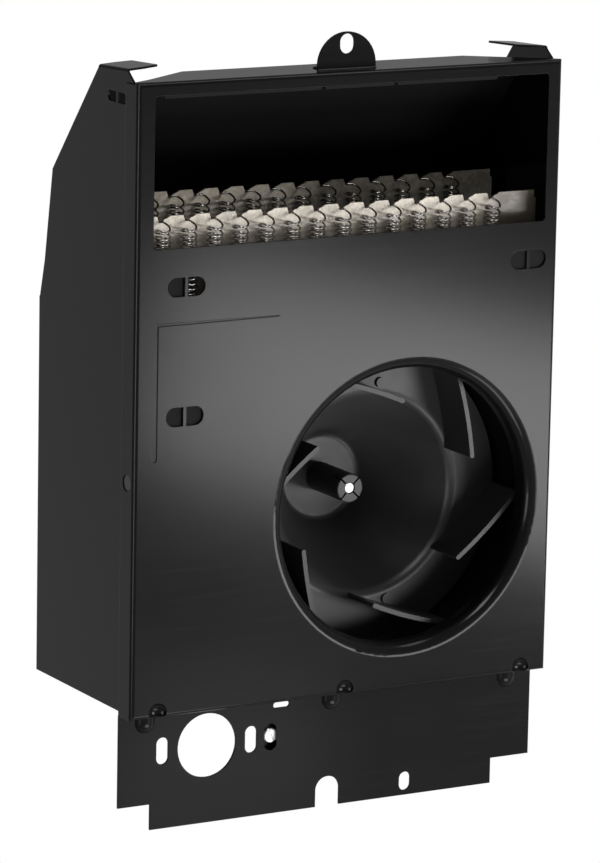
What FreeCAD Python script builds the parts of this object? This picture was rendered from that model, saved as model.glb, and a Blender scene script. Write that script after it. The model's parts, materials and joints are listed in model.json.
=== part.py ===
import FreeCAD, Part
import math
import os

Vec = FreeCAD.Vector
AXIS_X = Vec(1, 0, 0)
AXIS_Y = Vec(0, 1, 0)
AXIS_Z = Vec(0, 0, 1)

# Insert of a recessed wall fan heater, in millimetres.
# x runs to the right seen from the front, y into the wall, z up.
# Places count from the front panel: x from its middle, y from its front face, z from its top edge.
# The last step moves everything so that the origin lies in the middle of the hanging ear's slot.

# Casing sheet
sheet = 0.9
fold_r = 1.8  # outside radius of a fold
overrun = 6.0  # how far a cut runs past what it cuts
play = 0.15  # room between sheets that slide past each other

# Front panel
panel_w = 197.0
panel_h = 258.8
return_d = 10.8
flange_d = 25.5
mitre_w = 33.0
mitre_from = 2.4

# Hanging ear, lanced up from the top flange
ear_y = 7.3
ear_w = 27.0
ear_top = 15.2
ear_fold_r = 1.5
ear_slot_w = 6.5
ear_slot_h = 8.1
ear_slot_z = 10.3

# Outlet window
outlet_left = 7.7
outlet_right = 6.4
outlet_top = 5.5
outlet_h = 61.3
outlet_corner_r = 1.6

# Inlet with its drawn collar
inlet_right = 69.6  # from the panel's right edge to the inlet's middle
inlet_drop = 182.35  # from the panel's top edge to the inlet's middle
inlet_mouth_r = 63.2
inlet_throat_r = 58.0
collar_d = 9.0
fan_left = 1.4  # how far the fan's axis lies left of the inlet's middle
fan_sag = 0.8  # how far it lies below the inlet's middle

# Lances: two round-backed holes with a bridge between them
lance_w = 17.0
lance_h = 7.7
lance_bridge = 1.5
lance_inset = 22.8
right_lance_inset = 14.1
upper_lance_drop = 82.5
lower_lance_drop = 135.2

# Pressed groove at the upper left
groove_inset = 9.3
groove_drop = 97.3
groove_len = 56.0
groove_h = 55.6
groove_w = 1.1
groove_tip_w = 0.4
groove_end_w = 2.2
groove_d = 0.4

# Darts pressed across the folds at the panel's foot: a dimple above, a matching bump on the lower plate
dart_r = 4.1  # of the dimple's outline on the panel
dart_rise = 2.2  # from the fold up to the outline's middle
dart_d = 3.0
bump_r = 4.5  # of the bump's outline on the lower plate
bump_drop = 4.5  # from the fold down to the outline's middle
bump_d = 3.0
dart_inset = 12.4
dart_mid_x = 1.1

# Flush rivet that joins each return to its side
side_rivet_r = 3.2
side_rivet_tail_r = 1.6
side_rivet_clinch_r = 2.6
side_rivet_y = 6.0
side_rivet_drop = 161.5
side_rivet_sink = 0.35
side_rivet_tail_h = 1.2

# Lower plate, set back from the panel
lower_y = 11.0
lower_inset = 0.4
lower_drop = 309.0
shoulder_drop = 298.1
shoulder_left_w = 14.8
shoulder_right_w = 18.6
thermostat_r = 13.5
thermostat_left = 41.2
thermostat_drop = 276.2
thermostat_slot_w = 5.5
thermostat_slot_h = 11.4
thermostat_slot_reach = 20.6  # from the hole's middle to each slot's
spare_slot_left = 71.0
spare_slot_w = 6.0
lead_slot_w = 7.6
lead_slot_h = 2.4
lead_slot_left = 75.9
lead_slot_drop = 263.0
notch_w = 11.3
notch_top_drop = 296.3
small_slot_left = 135.9
small_slot_drop = 303.0
small_slot_w = 5.4
small_slot_h = 8.0

# Side panels
side_front_y = 2.6
side_foot_y = 4.4
side_foot_drop = 1.3
side_tab_front_y = 10.8
side_tab_front_z = 4.5
side_tab_rear_y = 36.0
side_tab_rear_z = 3.2
side_shoulder_y = 75.8
side_shoulder_drop = 44.5
side_knee_y = 82.2
side_knee_drop = 83.1
side_d = 88.2
side_heel_drop = 99.1
side_bottom_drop = 257.4
side_flange_w = 10.0
tab_w = 14.0
tab_rise = 1.0
tab_slant = 1.6  # how far the tab's free end is cut back at each corner
tab_fold_r = 1.2
side_lance_w = 16.0
side_lance_h = 4.4
side_lance_y = 19.6
side_lance_drop = 7.8

# Back panel with the window for the motor
back_screw_r = 1.9
back_screw_head_r = 3.4
back_screw_head_h = 1.8
back_screw_len = 6.0
back_screw_drops_shares = (0.1, 0.36, 0.9)  # along the side's rear flange, clear of the scroll
window_gap = 3.0
window_corner_r = 5.0

# Bottom panel with its grounding tab
bottom_flange_h = 9.0
bottom_front_y = 3.0
ground_tab_w = 10.8
ground_tab_y = 14.4
ground_tab_drop = 285.5
ground_neck_w = 6.0  # the tab is cut back beside the slot for the leads
ground_neck_drop = 267.0
ground_screw_left = 72.3
ground_screw_r = 1.9
ground_head_r = 3.1
ground_head_h = 1.7
ground_kerf_w = 0.9
ground_kerf_d = 0.8
ground_kerf_angle = -25.0
ground_screw_len = 7.0

# Air deflector behind the outlet
deflector_lip_y = 1.9
deflector_lip_drop = 6.9
deflector_bend_drop = 60.5
deflector_leg = 10.0
deflector_bend_r = 2.0
lip_tab_shares = ((0.066, 0.426), (0.434, 0.598), (0.606, 0.846))  # of the panel's width
deflector_notch_d = 4.5  # how far the notch at each end reaches behind the top flange

# Blower scroll round the wheel
scroll_sheet = 0.8
scroll_gap = 3.4  # from the wheel's rim to the scroll at the cut-off
scroll_belly_r = 70.6
scroll_side_r = 80.0
cutoff_angle = 42.0
belly_angle = -20.0
side_angle = -100.0
nose_r = 5.0
nose_turn = 118.0
scroll_wall_flange = 12.0
scroll_top_drop = 100.5
scroll_top_r = 10.0

# Blower wheel
wheel_r = 63.0
wheel_wall = 1.8
blade_front_y = 12.5
blade_count = 6
blade_in_r = 43.3
blade_in_angle = 22.6
blade_out_angle = 36.5  # how far the tip lags the inner end
blade_t = 1.9
blade_bow = 1.0
wheel_plate_y = 33.0
bowl_rim_r = 42.0
bowl_base_r = 18.0
bowl_base_y = 71.0
bowl_bend_r = 4.0
hub_r = 6.2
hub_front_y = 44.6
hub_slit_w = 0.8
hub_slit_d = 8.0
hub_slit_angles = (45.0, 135.0)
boss_r = 2.2
boss_h = 1.0
boss_reach = 47.4
boss_angles = (82.0, 284.5)

# Shaft and bearings
shaft_r = 2.38
shaft_front_y = 45.2
shaft_fit = 0.03  # radial running clearance in the bearings
press_fit = 0.01  # radial clearance where the shaft is gripped
bearing_r = 5.0
bearing_len = 5.0
washer_r = 4.2
washer_t = 0.6
washer_gap = 0.15

# Motor
stack_t = 12.7
stack_front_y = 83.0
stack_w = 60.0
stack_up = 26.0
stack_down = 46.0
stack_corner_r = 4.0
limb_h = 14.0
pole_h = 20.0  # from the axis down to the window between the limbs
stack_limb_w = 12.0
rotor_r = 13.4
air_gap = 0.4
end_ring_t = 1.4
end_ring_in_r = 9.6
end_ring_out_r = 12.8
bobbin_wall = 1.2
bobbin_fit = 0.15
winding_t = 5.2
winding_margin = 1.0
terminal_w = 6.3
terminal_t = 0.8
terminal_len = 9.0
shade_wire_r = 0.8
shade_strap_r = 1.1
shade_strap_t = 1.2
shade_out = 3.4  # from the rotor's bore to the inner leg
shade_w = 6.0
shade_angles = (35.0, 215.0)
shade_half_angle = 10.0
bolt_reach = 22.0
bolt_r = 1.95
bolt_fit = 0.15
bolt_head_r = 3.5
bolt_head_h = 2.2
nut_r = 4.0
nut_h = 2.6
bracket_w = 16.0
bracket_t = 2.5
bracket_boss_r = 8.5
post_r = 4.5
post_h = 1.8
mount_t = 1.2
mount_h = 40.0
mount_half_w = 50.0
mount_foot_w = 13.0
mount_bend_r = 1.8
mount_hole_r = 15.5
mount_screw_edge = 5.5
mount_screw_spread = 26.0
mount_screw_r = 1.9
mount_screw_head_r = 3.4
mount_screw_head_h = 1.8

# Element cards
card_t = 0.9
front_card_y = 9.4
rear_card_y = 44.5
rear_card_lift = 3.6  # how much higher the rear card stands
card_left = 4.5  # from the panel's left edge
card_right = 5.4  # from the panel's right edge
card_top_drop = 55.2
card_foot_gap = 3.0  # from the card's foot down to the scroll's shelf
card_shoulder_w = 0.9
card_shoulder_h = 3.2
tooth_count = 14
front_tooth_left = 15.6  # from the panel's left edge to the front card's first notch
rear_tooth_left = 14.7
tooth_pitch = 11.83
notch_depth = 2.6
notch_gap = 1.1
lean_w_shares = (0.12, 0.22, 0.34)  # of the pitch: where the tooth's stepped slope turns
lean_h_shares = (0.55, 0.68, 1.0)  # of the notch's depth, at those turns
steep_w_share = 0.08  # of the pitch: the tooth's steep chamfer
foot_notch_depth = 2.2

# Heating coils
wire_r = 0.4
coil_r = 3.0
coil_turns = 3
coil_pitch = 2.0
coil_card_gap = 0.35
wire_gap = 0.1
coil_drop = 3.2  # from the notch down to the first turn
back_loop = 3.2
leg_forward = 2.0
bend_reach = 3.0
lead_rise = 12.5  # from the card's foot up to the wire's end
min_wire_gap = 0.4
sample_step = 0.3

# Element terminals
terminal_inset = 8.4
terminal_rise = 14.5
terminal_tail = 8.0
terminal_rivet_rise = 5.5
terminal_room = 1.2  # round each terminal where it passes the scroll's shelf
rivet_r = 1.4
rivet_head_r = 2.4
rivet_head_h = 0.7

# Element brackets
clip_sheet = 0.8
clip_reach = 7.0
clip_top_drop = 70.5
bracket_top_drop = 69.0
bracket_back_y = 53.0
clip_fit = 0.05
foot_h = 14.0

# Limit switch on its bracket
limit_strap_w = 18.0
limit_shelf_gap = 17.5  # from the scroll's shelf down to the switch's
limit_strap_foot = 3.0  # below the lance
limit_bend_r = 1.4
limit_margin = 1.0  # before and behind the switch's ears
limit_body_r = 8.0
limit_body_h = 9.0
limit_cap_r = 6.5
limit_cap_h = 2.5
limit_ear_w = 30.0
limit_ear_h = 9.0
limit_ear_t = 0.8
limit_screw_reach = 11.8
limit_screw_r = 1.4
limit_screw_head_r = 2.6
limit_screw_head_h = 1.4
limit_terminal_w = 5.0
limit_terminal_h = 7.0
limit_terminal_reach = 4.0

# Places worked out from the sizes above
half_w = panel_w / 2
inlet_x = half_w - inlet_right
axis_x = inlet_x - fan_left
axis_z = -inlet_drop - fan_sag
side_out = half_w - sheet
side_in = side_out - sheet
floor_z = sheet - panel_h
lower_w = panel_w - 2 * lower_inset
back_in_y = side_d - 2 * sheet
lean = math.atan((side_knee_y - side_shoulder_y) / (side_knee_drop - side_shoulder_drop))
stack_back_y = stack_front_y + stack_t
mount_front_y = stack_front_y - mount_t
coil_half_w = stack_w / 2 - stack_limb_w
limb_top = limb_h - stack_down
mount_screw_reach = mount_half_w - mount_screw_edge
mount_step_w = mount_half_w - mount_foot_w
card_bottom_drop = scroll_top_drop - card_foot_gap
lead_end_drop = card_bottom_drop - lead_rise
terminal_top_drop = card_bottom_drop - terminal_rise
terminal_rivet_drop = card_bottom_drop - terminal_rivet_rise
limit_x = lance_inset - half_w
limit_strap_top_drop = scroll_top_drop + limit_shelf_gap
limit_strap_drop = lower_lance_drop + lance_h / 2 + limit_strap_foot
limit_mid_y = sheet + clip_sheet + limit_bend_r + limit_margin + limit_ear_w / 2
limit_shelf_d = limit_mid_y + limit_ear_w / 2 + limit_margin
card_places = ((front_card_y, 0), (rear_card_y, rear_card_lift))
tooth_starts = (front_tooth_left, rear_tooth_left)
winding_in = bobbin_fit + bobbin_wall
tiny = 0.01
parallel_share = 0.999


def unit(vector):
    return vector / vector.Length


def line(a, b):
    return Part.LineSegment(a, b).toShape()


def block(x0, x1, y0, y1, z0, z1):
    return Part.makeBox(x1 - x0, y1 - y0, z1 - z0, Vec(x0, y0, z0))


def drum(r, y0, y1, x, z):
    """Cylinder along y."""
    return Part.makeCylinder(r, y1 - y0, Vec(x, y0, z), AXIS_Y)


def ring(r_out, r_in, y0, y1, x, z):
    """Tube along y."""
    return drum(r_out, y0, y1, x, z).cut(drum(r_in, y0 - overrun, y1 + overrun, x, z))


def prism(points, travel):
    return Part.Face(Part.makePolygon(points + points[:1])).extrude(travel)


def prism_x(outline, x0, x1):
    return prism([Vec(x0, y, z) for y, z in outline], Vec(x1 - x0, 0, 0))


def prism_y(outline, y0, y1):
    return prism([Vec(x, y0, z) for x, z in outline], Vec(0, y1 - y0, 0))


def prism_z(outline, z0, z1):
    return prism([Vec(x, y, z0) for x, y in outline], Vec(0, 0, z1 - z0))


def edges_along(body, axis):
    found = []
    for edge in body.Edges:
        if abs(edge.tangentAt(edge.FirstParameter).dot(axis)) > parallel_share:
            found.append(edge)
    return found


def rounded(x0, x1, y0, y1, z0, z1, r):
    """Block whose four edges along y are round."""
    body = block(x0, x1, y0, y1, z0, z1)
    return body.makeFillet(r, edges_along(body, AXIS_Y))


def slot(w, h, x, z, y0, y1):
    """Slot with round ends, cut along y."""
    r = min(w, h) / 2
    dx = w / 2 - r
    dz = h / 2 - r
    reach_x = max(dx, r if dz > dx else 0)
    reach_z = max(dz, r if dx > dz else 0)
    body = block(x - reach_x, x + reach_x, y0, y1, z - reach_z, z + reach_z)
    return body.fuse([drum(r, y0, y1, x - dx, z - dz), drum(r, y0, y1, x + dx, z + dz)])


def folded(points, normal, bend, thick):
    """Section of a bent sheet: straight runs through the points, round at each bend."""
    runs = [unit(b - a) for a, b in zip(points, points[1:])]
    edges = []
    ends = []
    for side in (1, -1):
        lift = side * thick / 2
        here = points[0] + normal.cross(runs[0]) * lift
        ends.append(here)
        for corner, before, after in zip(points[1:], runs, runs[1:]):
            turn = before.getAngle(after)
            sense = 1 if before.cross(after).dot(normal) > 0 else -1
            centre = corner - before * bend * math.tan(turn / 2) + normal.cross(before) * bend * sense
            radius = bend - sense * lift
            first = centre - normal.cross(before) * radius * sense
            last = centre - normal.cross(after) * radius * sense
            middle = centre + unit(corner - centre) * radius
            edges.append(line(here, first))
            edges.append(Part.Arc(first, middle, last).toShape())
            here = last
        there = points[-1] + normal.cross(runs[-1]) * lift
        edges.append(line(here, there))
        ends.append(there)
    edges.append(line(ends[0], ends[2]))
    edges.append(line(ends[1], ends[3]))
    return Part.Face(Part.Wire(Part.__sortEdges__(edges)))


def turned(face, x, z):
    """Body of revolution about an axis along y."""
    return face.revolve(Vec(x, 0, z), AXIS_Y, 360)


def mirrored(body):
    return body.mirror(Vec(0, 0, 0), AXIS_X)


def polar(radius, angle):
    """Place in the x and z plane about the wheel's axis, angle anticlockwise from the right."""
    turn = math.radians(angle)
    return axis_x + radius * math.cos(turn), axis_z + radius * math.sin(turn)


def lance(w, h, x, z, y0, y1):
    """Two round-backed holes beside a bridge."""
    bridge = block(x - lance_bridge / 2, x + lance_bridge / 2, y0, y1, z - h, z + h)
    return slot(w, h, x, z, y0, y1).cut(bridge)


def screw(x, z, seat_y, way, r, length, head_r, head_h):
    """Round-headed screw along y: its head stands from the seat against the way that the shank goes."""
    head = Part.makeCylinder(head_r, head_h, Vec(x, seat_y, z), AXIS_Y * -way)
    rim = [edge for edge in head.Edges if abs(edge.CenterOfMass.y - seat_y) > head_h / 2 and edge.Closed]
    head = head.makeFillet(head_h / 2, [edge for edge in rim if len(edge.Vertexes) == 1][:1])
    return head.fuse(Part.makeCylinder(r, length, Vec(x, seat_y, z), AXIS_Y * way)).removeSplitter()


def back_line_y(z, inset):
    """Depth, at height z, of the line that runs inside the sides' leaning rear edge."""
    return side_shoulder_y + (-side_shoulder_drop - z) * math.tan(lean) - inset / math.cos(lean)


def panel_tray():
    """Front plate with its side returns, top flange and the front of its bottom shelf."""
    outer = block(-half_w, half_w, 0, flange_d, -panel_h, 0)
    outer = outer.makeFillet(fold_r, [e for e in outer.Edges if e.BoundBox.YMax < tiny])
    inner = block(sheet - half_w, half_w - sheet, sheet, flange_d + overrun, floor_z, -sheet)
    inner = inner.makeFillet(fold_r - sheet, [e for e in inner.Edges if e.BoundBox.YMax < sheet + tiny])
    tray = outer.cut(inner)
    tray = tray.cut(block(-panel_w, panel_w, return_d, flange_d + overrun, -panel_h - overrun, -sheet - tiny))
    mitre = prism_z([(-panel_w, mitre_from), (-half_w, mitre_from), (mitre_w - half_w, flange_d),
                     (mitre_w - half_w, flange_d + overrun), (-panel_w, flange_d + overrun)],
                    -sheet - tiny, overrun)
    return tray.cut([mitre, mirrored(mitre)])


def hanging_ear():
    """Round ear that is lanced from the top flange and bent upright."""
    mid_y = ear_y + sheet / 2
    run = [Vec(-ear_w / 2, ear_y - 2 * ear_fold_r, -sheet / 2), Vec(-ear_w / 2, mid_y, -sheet / 2),
           Vec(-ear_w / 2, mid_y, ear_top)]
    blank = folded(run, AXIS_X, ear_fold_r, sheet).extrude(Vec(ear_w, 0, 0))
    round_z = ear_top - ear_w / 2
    keep = drum(ear_w / 2, 0, flange_d, 0, round_z)
    keep = keep.fuse(block(-ear_w / 2, ear_w / 2, 0, flange_d, -sheet - tiny, round_z))
    hole = slot(ear_slot_w, ear_slot_h, 0, ear_slot_z, 0, flange_d)
    return blank.common(keep).cut(hole)


def ear_gap():
    """What the lanced ear leaves open in the top flange."""
    front = ear_y + sheet / 2 - ear_fold_r
    depth = front + ear_top
    square = block(-ear_w / 2, ear_w / 2, front, depth - ear_w / 2, -sheet - overrun, overrun)
    nose = Part.makeCylinder(ear_w / 2, sheet + 2 * overrun, Vec(0, depth - ear_w / 2, -sheet - overrun))
    return square.fuse(nose.common(block(-ear_w, ear_w, front, depth, -sheet - overrun, overrun)))


def inlet_collar():
    """Bell mouth drawn inwards from the panel."""
    mid_r = inlet_throat_r + sheet / 2
    run = [Vec(inlet_x + inlet_mouth_r + sheet, sheet / 2, -inlet_drop),
           Vec(inlet_x + mid_r, sheet / 2, -inlet_drop), Vec(inlet_x + mid_r, collar_d, -inlet_drop)]
    return turned(folded(run, AXIS_Z, inlet_mouth_r - mid_r, sheet), inlet_x, -inlet_drop)


def ball_r(outline_r, depth):
    """Radius of the ball that meets a face in a circle and reaches the given depth past it."""
    return (outline_r ** 2 + depth ** 2) / (2 * depth)


def dart_places():
    return dart_inset - half_w, dart_mid_x, half_w - dart_inset


def darted(body, x):
    """Panel with a dimple pressed across its foot's fold and a bump across the lower plate's."""
    r = ball_r(dart_r, dart_d)
    spot = Vec(x, dart_d - r, dart_rise - panel_h)
    corner = block(x - 2 * r, x + 2 * r, 0, lower_y, -panel_h, 2 * r - panel_h)
    fold = [e for e in corner.Edges if e.BoundBox.YMax < tiny and e.BoundBox.ZMax < tiny - panel_h]
    dent = Part.makeSphere(r, spot)
    wall = Part.makeSphere(r + sheet, spot).common(corner.makeFillet(fold_r, fold)).cut(dent)
    body = body.cut(dent).fuse(wall)
    r = ball_r(bump_r, bump_d)
    spot = Vec(x, lower_y - bump_d + r, -panel_h - bump_drop)
    bump = Part.makeSphere(r, spot).fuse(Part.makeCylinder(r, bump_drop, spot))
    hollow = Part.makeSphere(r - sheet, spot).fuse(Part.makeCylinder(r - sheet, bump_drop, spot))
    front = block(x - 2 * r, x + 2 * r, 0, lower_y + sheet, -panel_h - 2 * lower_y, -panel_h)
    return body.cut(hollow).fuse(bump.common(front).cut(hollow))


def lower_plate():
    """Shelf and set-back plate below the panel, with the holes that controls are fixed to."""
    mid_y = lower_y + sheet / 2
    run = [Vec(-lower_w / 2, fold_r, floor_z - sheet / 2), Vec(-lower_w / 2, mid_y, floor_z - sheet / 2),
           Vec(-lower_w / 2, mid_y, -lower_drop)]
    plate = folded(run, AXIS_X, fold_r - sheet / 2, sheet).extrude(Vec(lower_w, 0, 0))
    near = lower_y - overrun
    far = lower_y + overrun
    left = -half_w
    cuts = [
        block(-panel_w, shoulder_left_w - lower_w / 2, near, far, -lower_drop - overrun, -shoulder_drop),
        block(lower_w / 2 - shoulder_right_w, panel_w, near, far, -lower_drop - overrun, -shoulder_drop),
        drum(thermostat_r, near, far, left + thermostat_left, -thermostat_drop),
        slot(spare_slot_w, thermostat_slot_h, left + spare_slot_left, -thermostat_drop, near, far),
        slot(lead_slot_w, lead_slot_h, left + lead_slot_left, -lead_slot_drop, near, far),
        slot(small_slot_w, small_slot_h, left + small_slot_left, -small_slot_drop, near, far),
        drum(notch_w / 2, near, far, 0, -notch_top_drop - notch_w / 2),
        block(-notch_w / 2, notch_w / 2, near, far, -lower_drop - overrun, -notch_top_drop - notch_w / 2)]
    for side in (-1, 1):
        x = left + thermostat_left + side * thermostat_slot_reach
        cuts.append(slot(thermostat_slot_w, thermostat_slot_h, x, -thermostat_drop, near, far))
    return plate.cut(cuts)


def front_panel():
    body = panel_tray().cut(ear_gap())
    mouth = drum(inlet_mouth_r + sheet / 2, -overrun, sheet + overrun, inlet_x, -inlet_drop)
    window = rounded(outlet_left - half_w, half_w - outlet_right, -overrun, sheet + overrun,
                     -outlet_top - outlet_h, -outlet_top, outlet_corner_r)
    left = lance_inset - half_w
    cuts = [mouth, window]
    places = [(left, -upper_lance_drop), (left, -lower_lance_drop),
              (half_w - right_lance_inset, -upper_lance_drop)]
    cuts += [lance(lance_w, lance_h, x, z, -overrun, sheet + overrun) for x, z in places]
    cuts += groove_cuts()
    rivet_hole = Part.makeCylinder(side_rivet_r + play, panel_w + overrun,
                                   Vec(-half_w - overrun / 2, side_rivet_y, -side_rivet_drop), AXIS_X)
    cuts.append(rivet_hole)
    body = body.cut(cuts).fuse([inlet_collar(), hanging_ear(), lower_plate()])
    for x in dart_places():
        body = darted(body, x)
    return body.removeSplitter()


def groove_cuts():
    """Pressed line that fades out to the right and widens to a round foot below."""
    x = groove_inset - half_w
    z = -groove_drop
    foot_z = z - groove_h + groove_end_w / 2
    across = [(x, z + groove_w / 2), (x, z - groove_w / 2), (x + groove_len, z - groove_tip_w / 2),
              (x + groove_len, z + groove_tip_w / 2)]
    down = [(x, z), (x + groove_w, z), (x + groove_end_w / 2, foot_z), (x - groove_end_w / 2, foot_z)]
    return [prism_y(across, -overrun, groove_d), prism_y(down, -overrun, groove_d),
            drum(groove_end_w / 2, -overrun, groove_d, x, foot_z)]


def side_outline():
    """Outline of a side's flat, from its front foot up over the tab and down the back, as y and z."""
    return [(side_front_y, -side_bottom_drop), (side_front_y, -side_foot_drop),
            (side_foot_y, -side_foot_drop), (side_tab_front_y, side_tab_front_z - tab_fold_r),
            (side_tab_rear_y, side_tab_rear_z - tab_fold_r),
            (side_shoulder_y, -side_shoulder_drop), (side_knee_y, -side_knee_drop),
            (side_d - fold_r, -side_heel_drop), (side_d - fold_r, -side_bottom_drop)]


def side_rear_flange():
    """Flange that is turned inwards along the left side's rear edge."""
    mid_x = sheet / 2 - side_out
    mid_y = side_d - sheet / 2
    run = [Vec(mid_x, side_d - 2 * fold_r, -side_bottom_drop), Vec(mid_x, mid_y, -side_bottom_drop),
           Vec(side_flange_w - side_out, mid_y, -side_bottom_drop)]
    rise = AXIS_Z * (side_bottom_drop - side_heel_drop)
    return folded(run, AXIS_Z, fold_r - sheet / 2, sheet).extrude(rise)


def hook_tab():
    """Tab that is turned inwards at the top of the left side, its free corners cut back."""
    mid_x = sheet / 2 - side_out
    y = side_tab_front_y
    top = side_tab_front_z - sheet / 2
    run = [Vec(mid_x, y, top - 2 * tab_fold_r), Vec(mid_x, y, top), Vec(tab_w - side_out, y, top + tab_rise)]
    along = Vec(0, side_tab_rear_y - y, side_tab_rear_z - side_tab_front_z)
    tab = folded(run, AXIS_Y, tab_fold_r - sheet / 2, sheet).extrude(along)
    low = top - overrun
    high = top + overrun
    free = tab_w - side_out
    front = prism_z([(free - tab_w / 2, y), (free, y + tab_slant), (free + overrun, y)], low, high)
    rear = prism_z([(free - tab_w / 2, side_tab_rear_y), (free, side_tab_rear_y - tab_slant),
                    (free + overrun, side_tab_rear_y)], low, high)
    return tab.cut([front, rear])


def plain_side():
    """Left side without its lance."""
    body = prism_x(side_outline(), -side_out, -side_in)
    body = body.fuse([side_rear_flange(), hook_tab()])
    tail = Part.makeCylinder(side_rivet_tail_r + tiny, 2 * overrun,
                             Vec(-side_out - overrun, side_rivet_y, -side_rivet_drop), AXIS_X)
    screws = []
    for x, z in back_screw_places():
        screws.append(drum(back_screw_r + play, side_d - overrun, side_d + overrun, -x, z))
    return body.cut([tail] + screws).removeSplitter()


def left_side_panel():
    hole = lance(side_lance_w, side_lance_h, 0, 0, -overrun, overrun)
    hole.rotate(Vec(0, 0, 0), AXIS_Z, 90)
    hole.translate(Vec(-side_out, side_lance_y, -side_lance_drop))
    return plain_side().cut(hole)


def right_side_panel():
    return mirrored(plain_side())


def back_screw_places():
    """Where the back panel is screwed to one side's rear flange, as distance from the middle and height."""
    x = side_out - side_flange_w / 2 - sheet / 2
    run = side_bottom_drop - side_heel_drop
    return [(x, -side_heel_drop - share * run) for share in back_screw_drops_shares]


def back_panel():
    centre_y = back_in_y + sheet / 2
    top = -side_shoulder_drop
    knee = -side_knee_drop
    edge = side_in - (fold_r - sheet) - play
    run = [Vec(-edge, back_line_y(top, sheet * 3 / 2), top),
           Vec(-edge, back_line_y(knee, sheet * 3 / 2), knee),
           Vec(-edge, centre_y, -side_heel_drop),
           Vec(-edge, centre_y, floor_z + sheet + play)]
    body = folded(run, AXIS_X, fold_r, sheet).extrude(Vec(2 * edge, 0, 0))
    far = side_d + overrun
    near = back_in_y - overrun
    cuts = [rounded(axis_x - stack_w / 2 - window_gap, axis_x + stack_w / 2 + window_gap, near, far,
                    axis_z - stack_down - winding_in - winding_t - window_gap, axis_z + stack_up + window_gap,
                    window_corner_r)]
    for x, z in back_screw_places():
        cuts += [drum(back_screw_r + play, near, far, side * x, z) for side in (-1, 1)]
    for x, z in mount_screw_places():
        cuts.append(drum(mount_screw_r + play, near, far, x, z))
    return body.cut(cuts)


def back_panel_screws():
    bodies = []
    for x, z in back_screw_places():
        for side in (-1, 1):
            bodies.append(screw(side * x, z, side_d, -1, back_screw_r, back_screw_len,
                                back_screw_head_r, back_screw_head_h))
    return Part.makeCompound(bodies)


def bottom_panel():
    """Floor of the box with flanges up its sides and back and a grounding tab down behind the lower plate."""
    edge = side_in - play
    back = back_in_y - play
    outer = block(-edge, edge, bottom_front_y, back, floor_z, floor_z + bottom_flange_h)
    inner = block(sheet - edge, edge - sheet, bottom_front_y - overrun, back - sheet,
                  floor_z + sheet, floor_z + bottom_flange_h + overrun)
    body = outer.cut(inner)
    x = ground_screw_left - half_w
    mid_y = ground_tab_y + sheet / 2
    run = [Vec(x - ground_tab_w / 2, mid_y - 3 * fold_r + sheet, floor_z + sheet / 2),
           Vec(x - ground_tab_w / 2, mid_y, floor_z + sheet / 2),
           Vec(x - ground_tab_w / 2, mid_y, -ground_tab_drop)]
    tab = folded(run, AXIS_X, fold_r, sheet).extrude(Vec(ground_tab_w, 0, 0))
    neck_x = x - ground_tab_w / 2 + ground_neck_w
    tab = tab.cut(block(neck_x, neck_x + ground_tab_w, 0, back_in_y, -ground_neck_drop, 0))
    tab_len = ground_tab_drop + floor_z
    opening = block(x - ground_tab_w / 2 - play, x + ground_tab_w / 2 + play, mid_y - fold_r, mid_y + tab_len,
                    floor_z - overrun, floor_z + sheet + tiny)
    hole = drum(ground_screw_r + tiny, ground_tab_y - overrun, ground_tab_y + overrun, x, -thermostat_drop)
    dents = []
    for place in dart_places():
        dents.append(block(place - dart_r - 2 * sheet, place + dart_r + 2 * sheet, bottom_front_y - overrun,
                           lower_y + fold_r, floor_z - overrun, floor_z + sheet + tiny))
    top = floor_z + bottom_flange_h
    first, last = scroll_span(top)
    relief = block(first, last, back - sheet - tiny, back + overrun, floor_z + sheet, top + overrun)
    return body.cut([opening, relief] + dents).fuse(tab).cut(hole).removeSplitter()


def ground_screw():
    x = ground_screw_left - half_w
    body = screw(x, -thermostat_drop, ground_tab_y, 1, ground_screw_r, ground_screw_len,
                 ground_head_r, ground_head_h)
    face_y = ground_tab_y - ground_head_h
    kerf = block(-ground_kerf_w / 2, ground_kerf_w / 2, face_y - overrun, face_y + ground_kerf_d,
                 -2 * ground_head_r, 2 * ground_head_r)
    kerf.rotate(Vec(0, 0, 0), AXIS_Y, ground_kerf_angle)
    kerf.translate(Vec(x, 0, -thermostat_drop))
    return body.cut(kerf)


def side_rivets():
    """One flush rivet in each return, set a little below its face."""
    start = Vec(-half_w + side_rivet_sink, side_rivet_y, -side_rivet_drop)
    head = Part.makeCylinder(side_rivet_r, sheet - side_rivet_sink, start, AXIS_X)
    tail_len = 2 * sheet + side_rivet_tail_h - side_rivet_sink
    tail = Part.makeCylinder(side_rivet_tail_r, tail_len, start, AXIS_X)
    clinch = Part.makeCylinder(side_rivet_clinch_r, side_rivet_tail_h,
                               Vec(-side_in, side_rivet_y, -side_rivet_drop), AXIS_X)
    left = head.fuse([tail, clinch]).removeSplitter()
    return Part.makeCompound([left, mirrored(left)])


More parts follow.
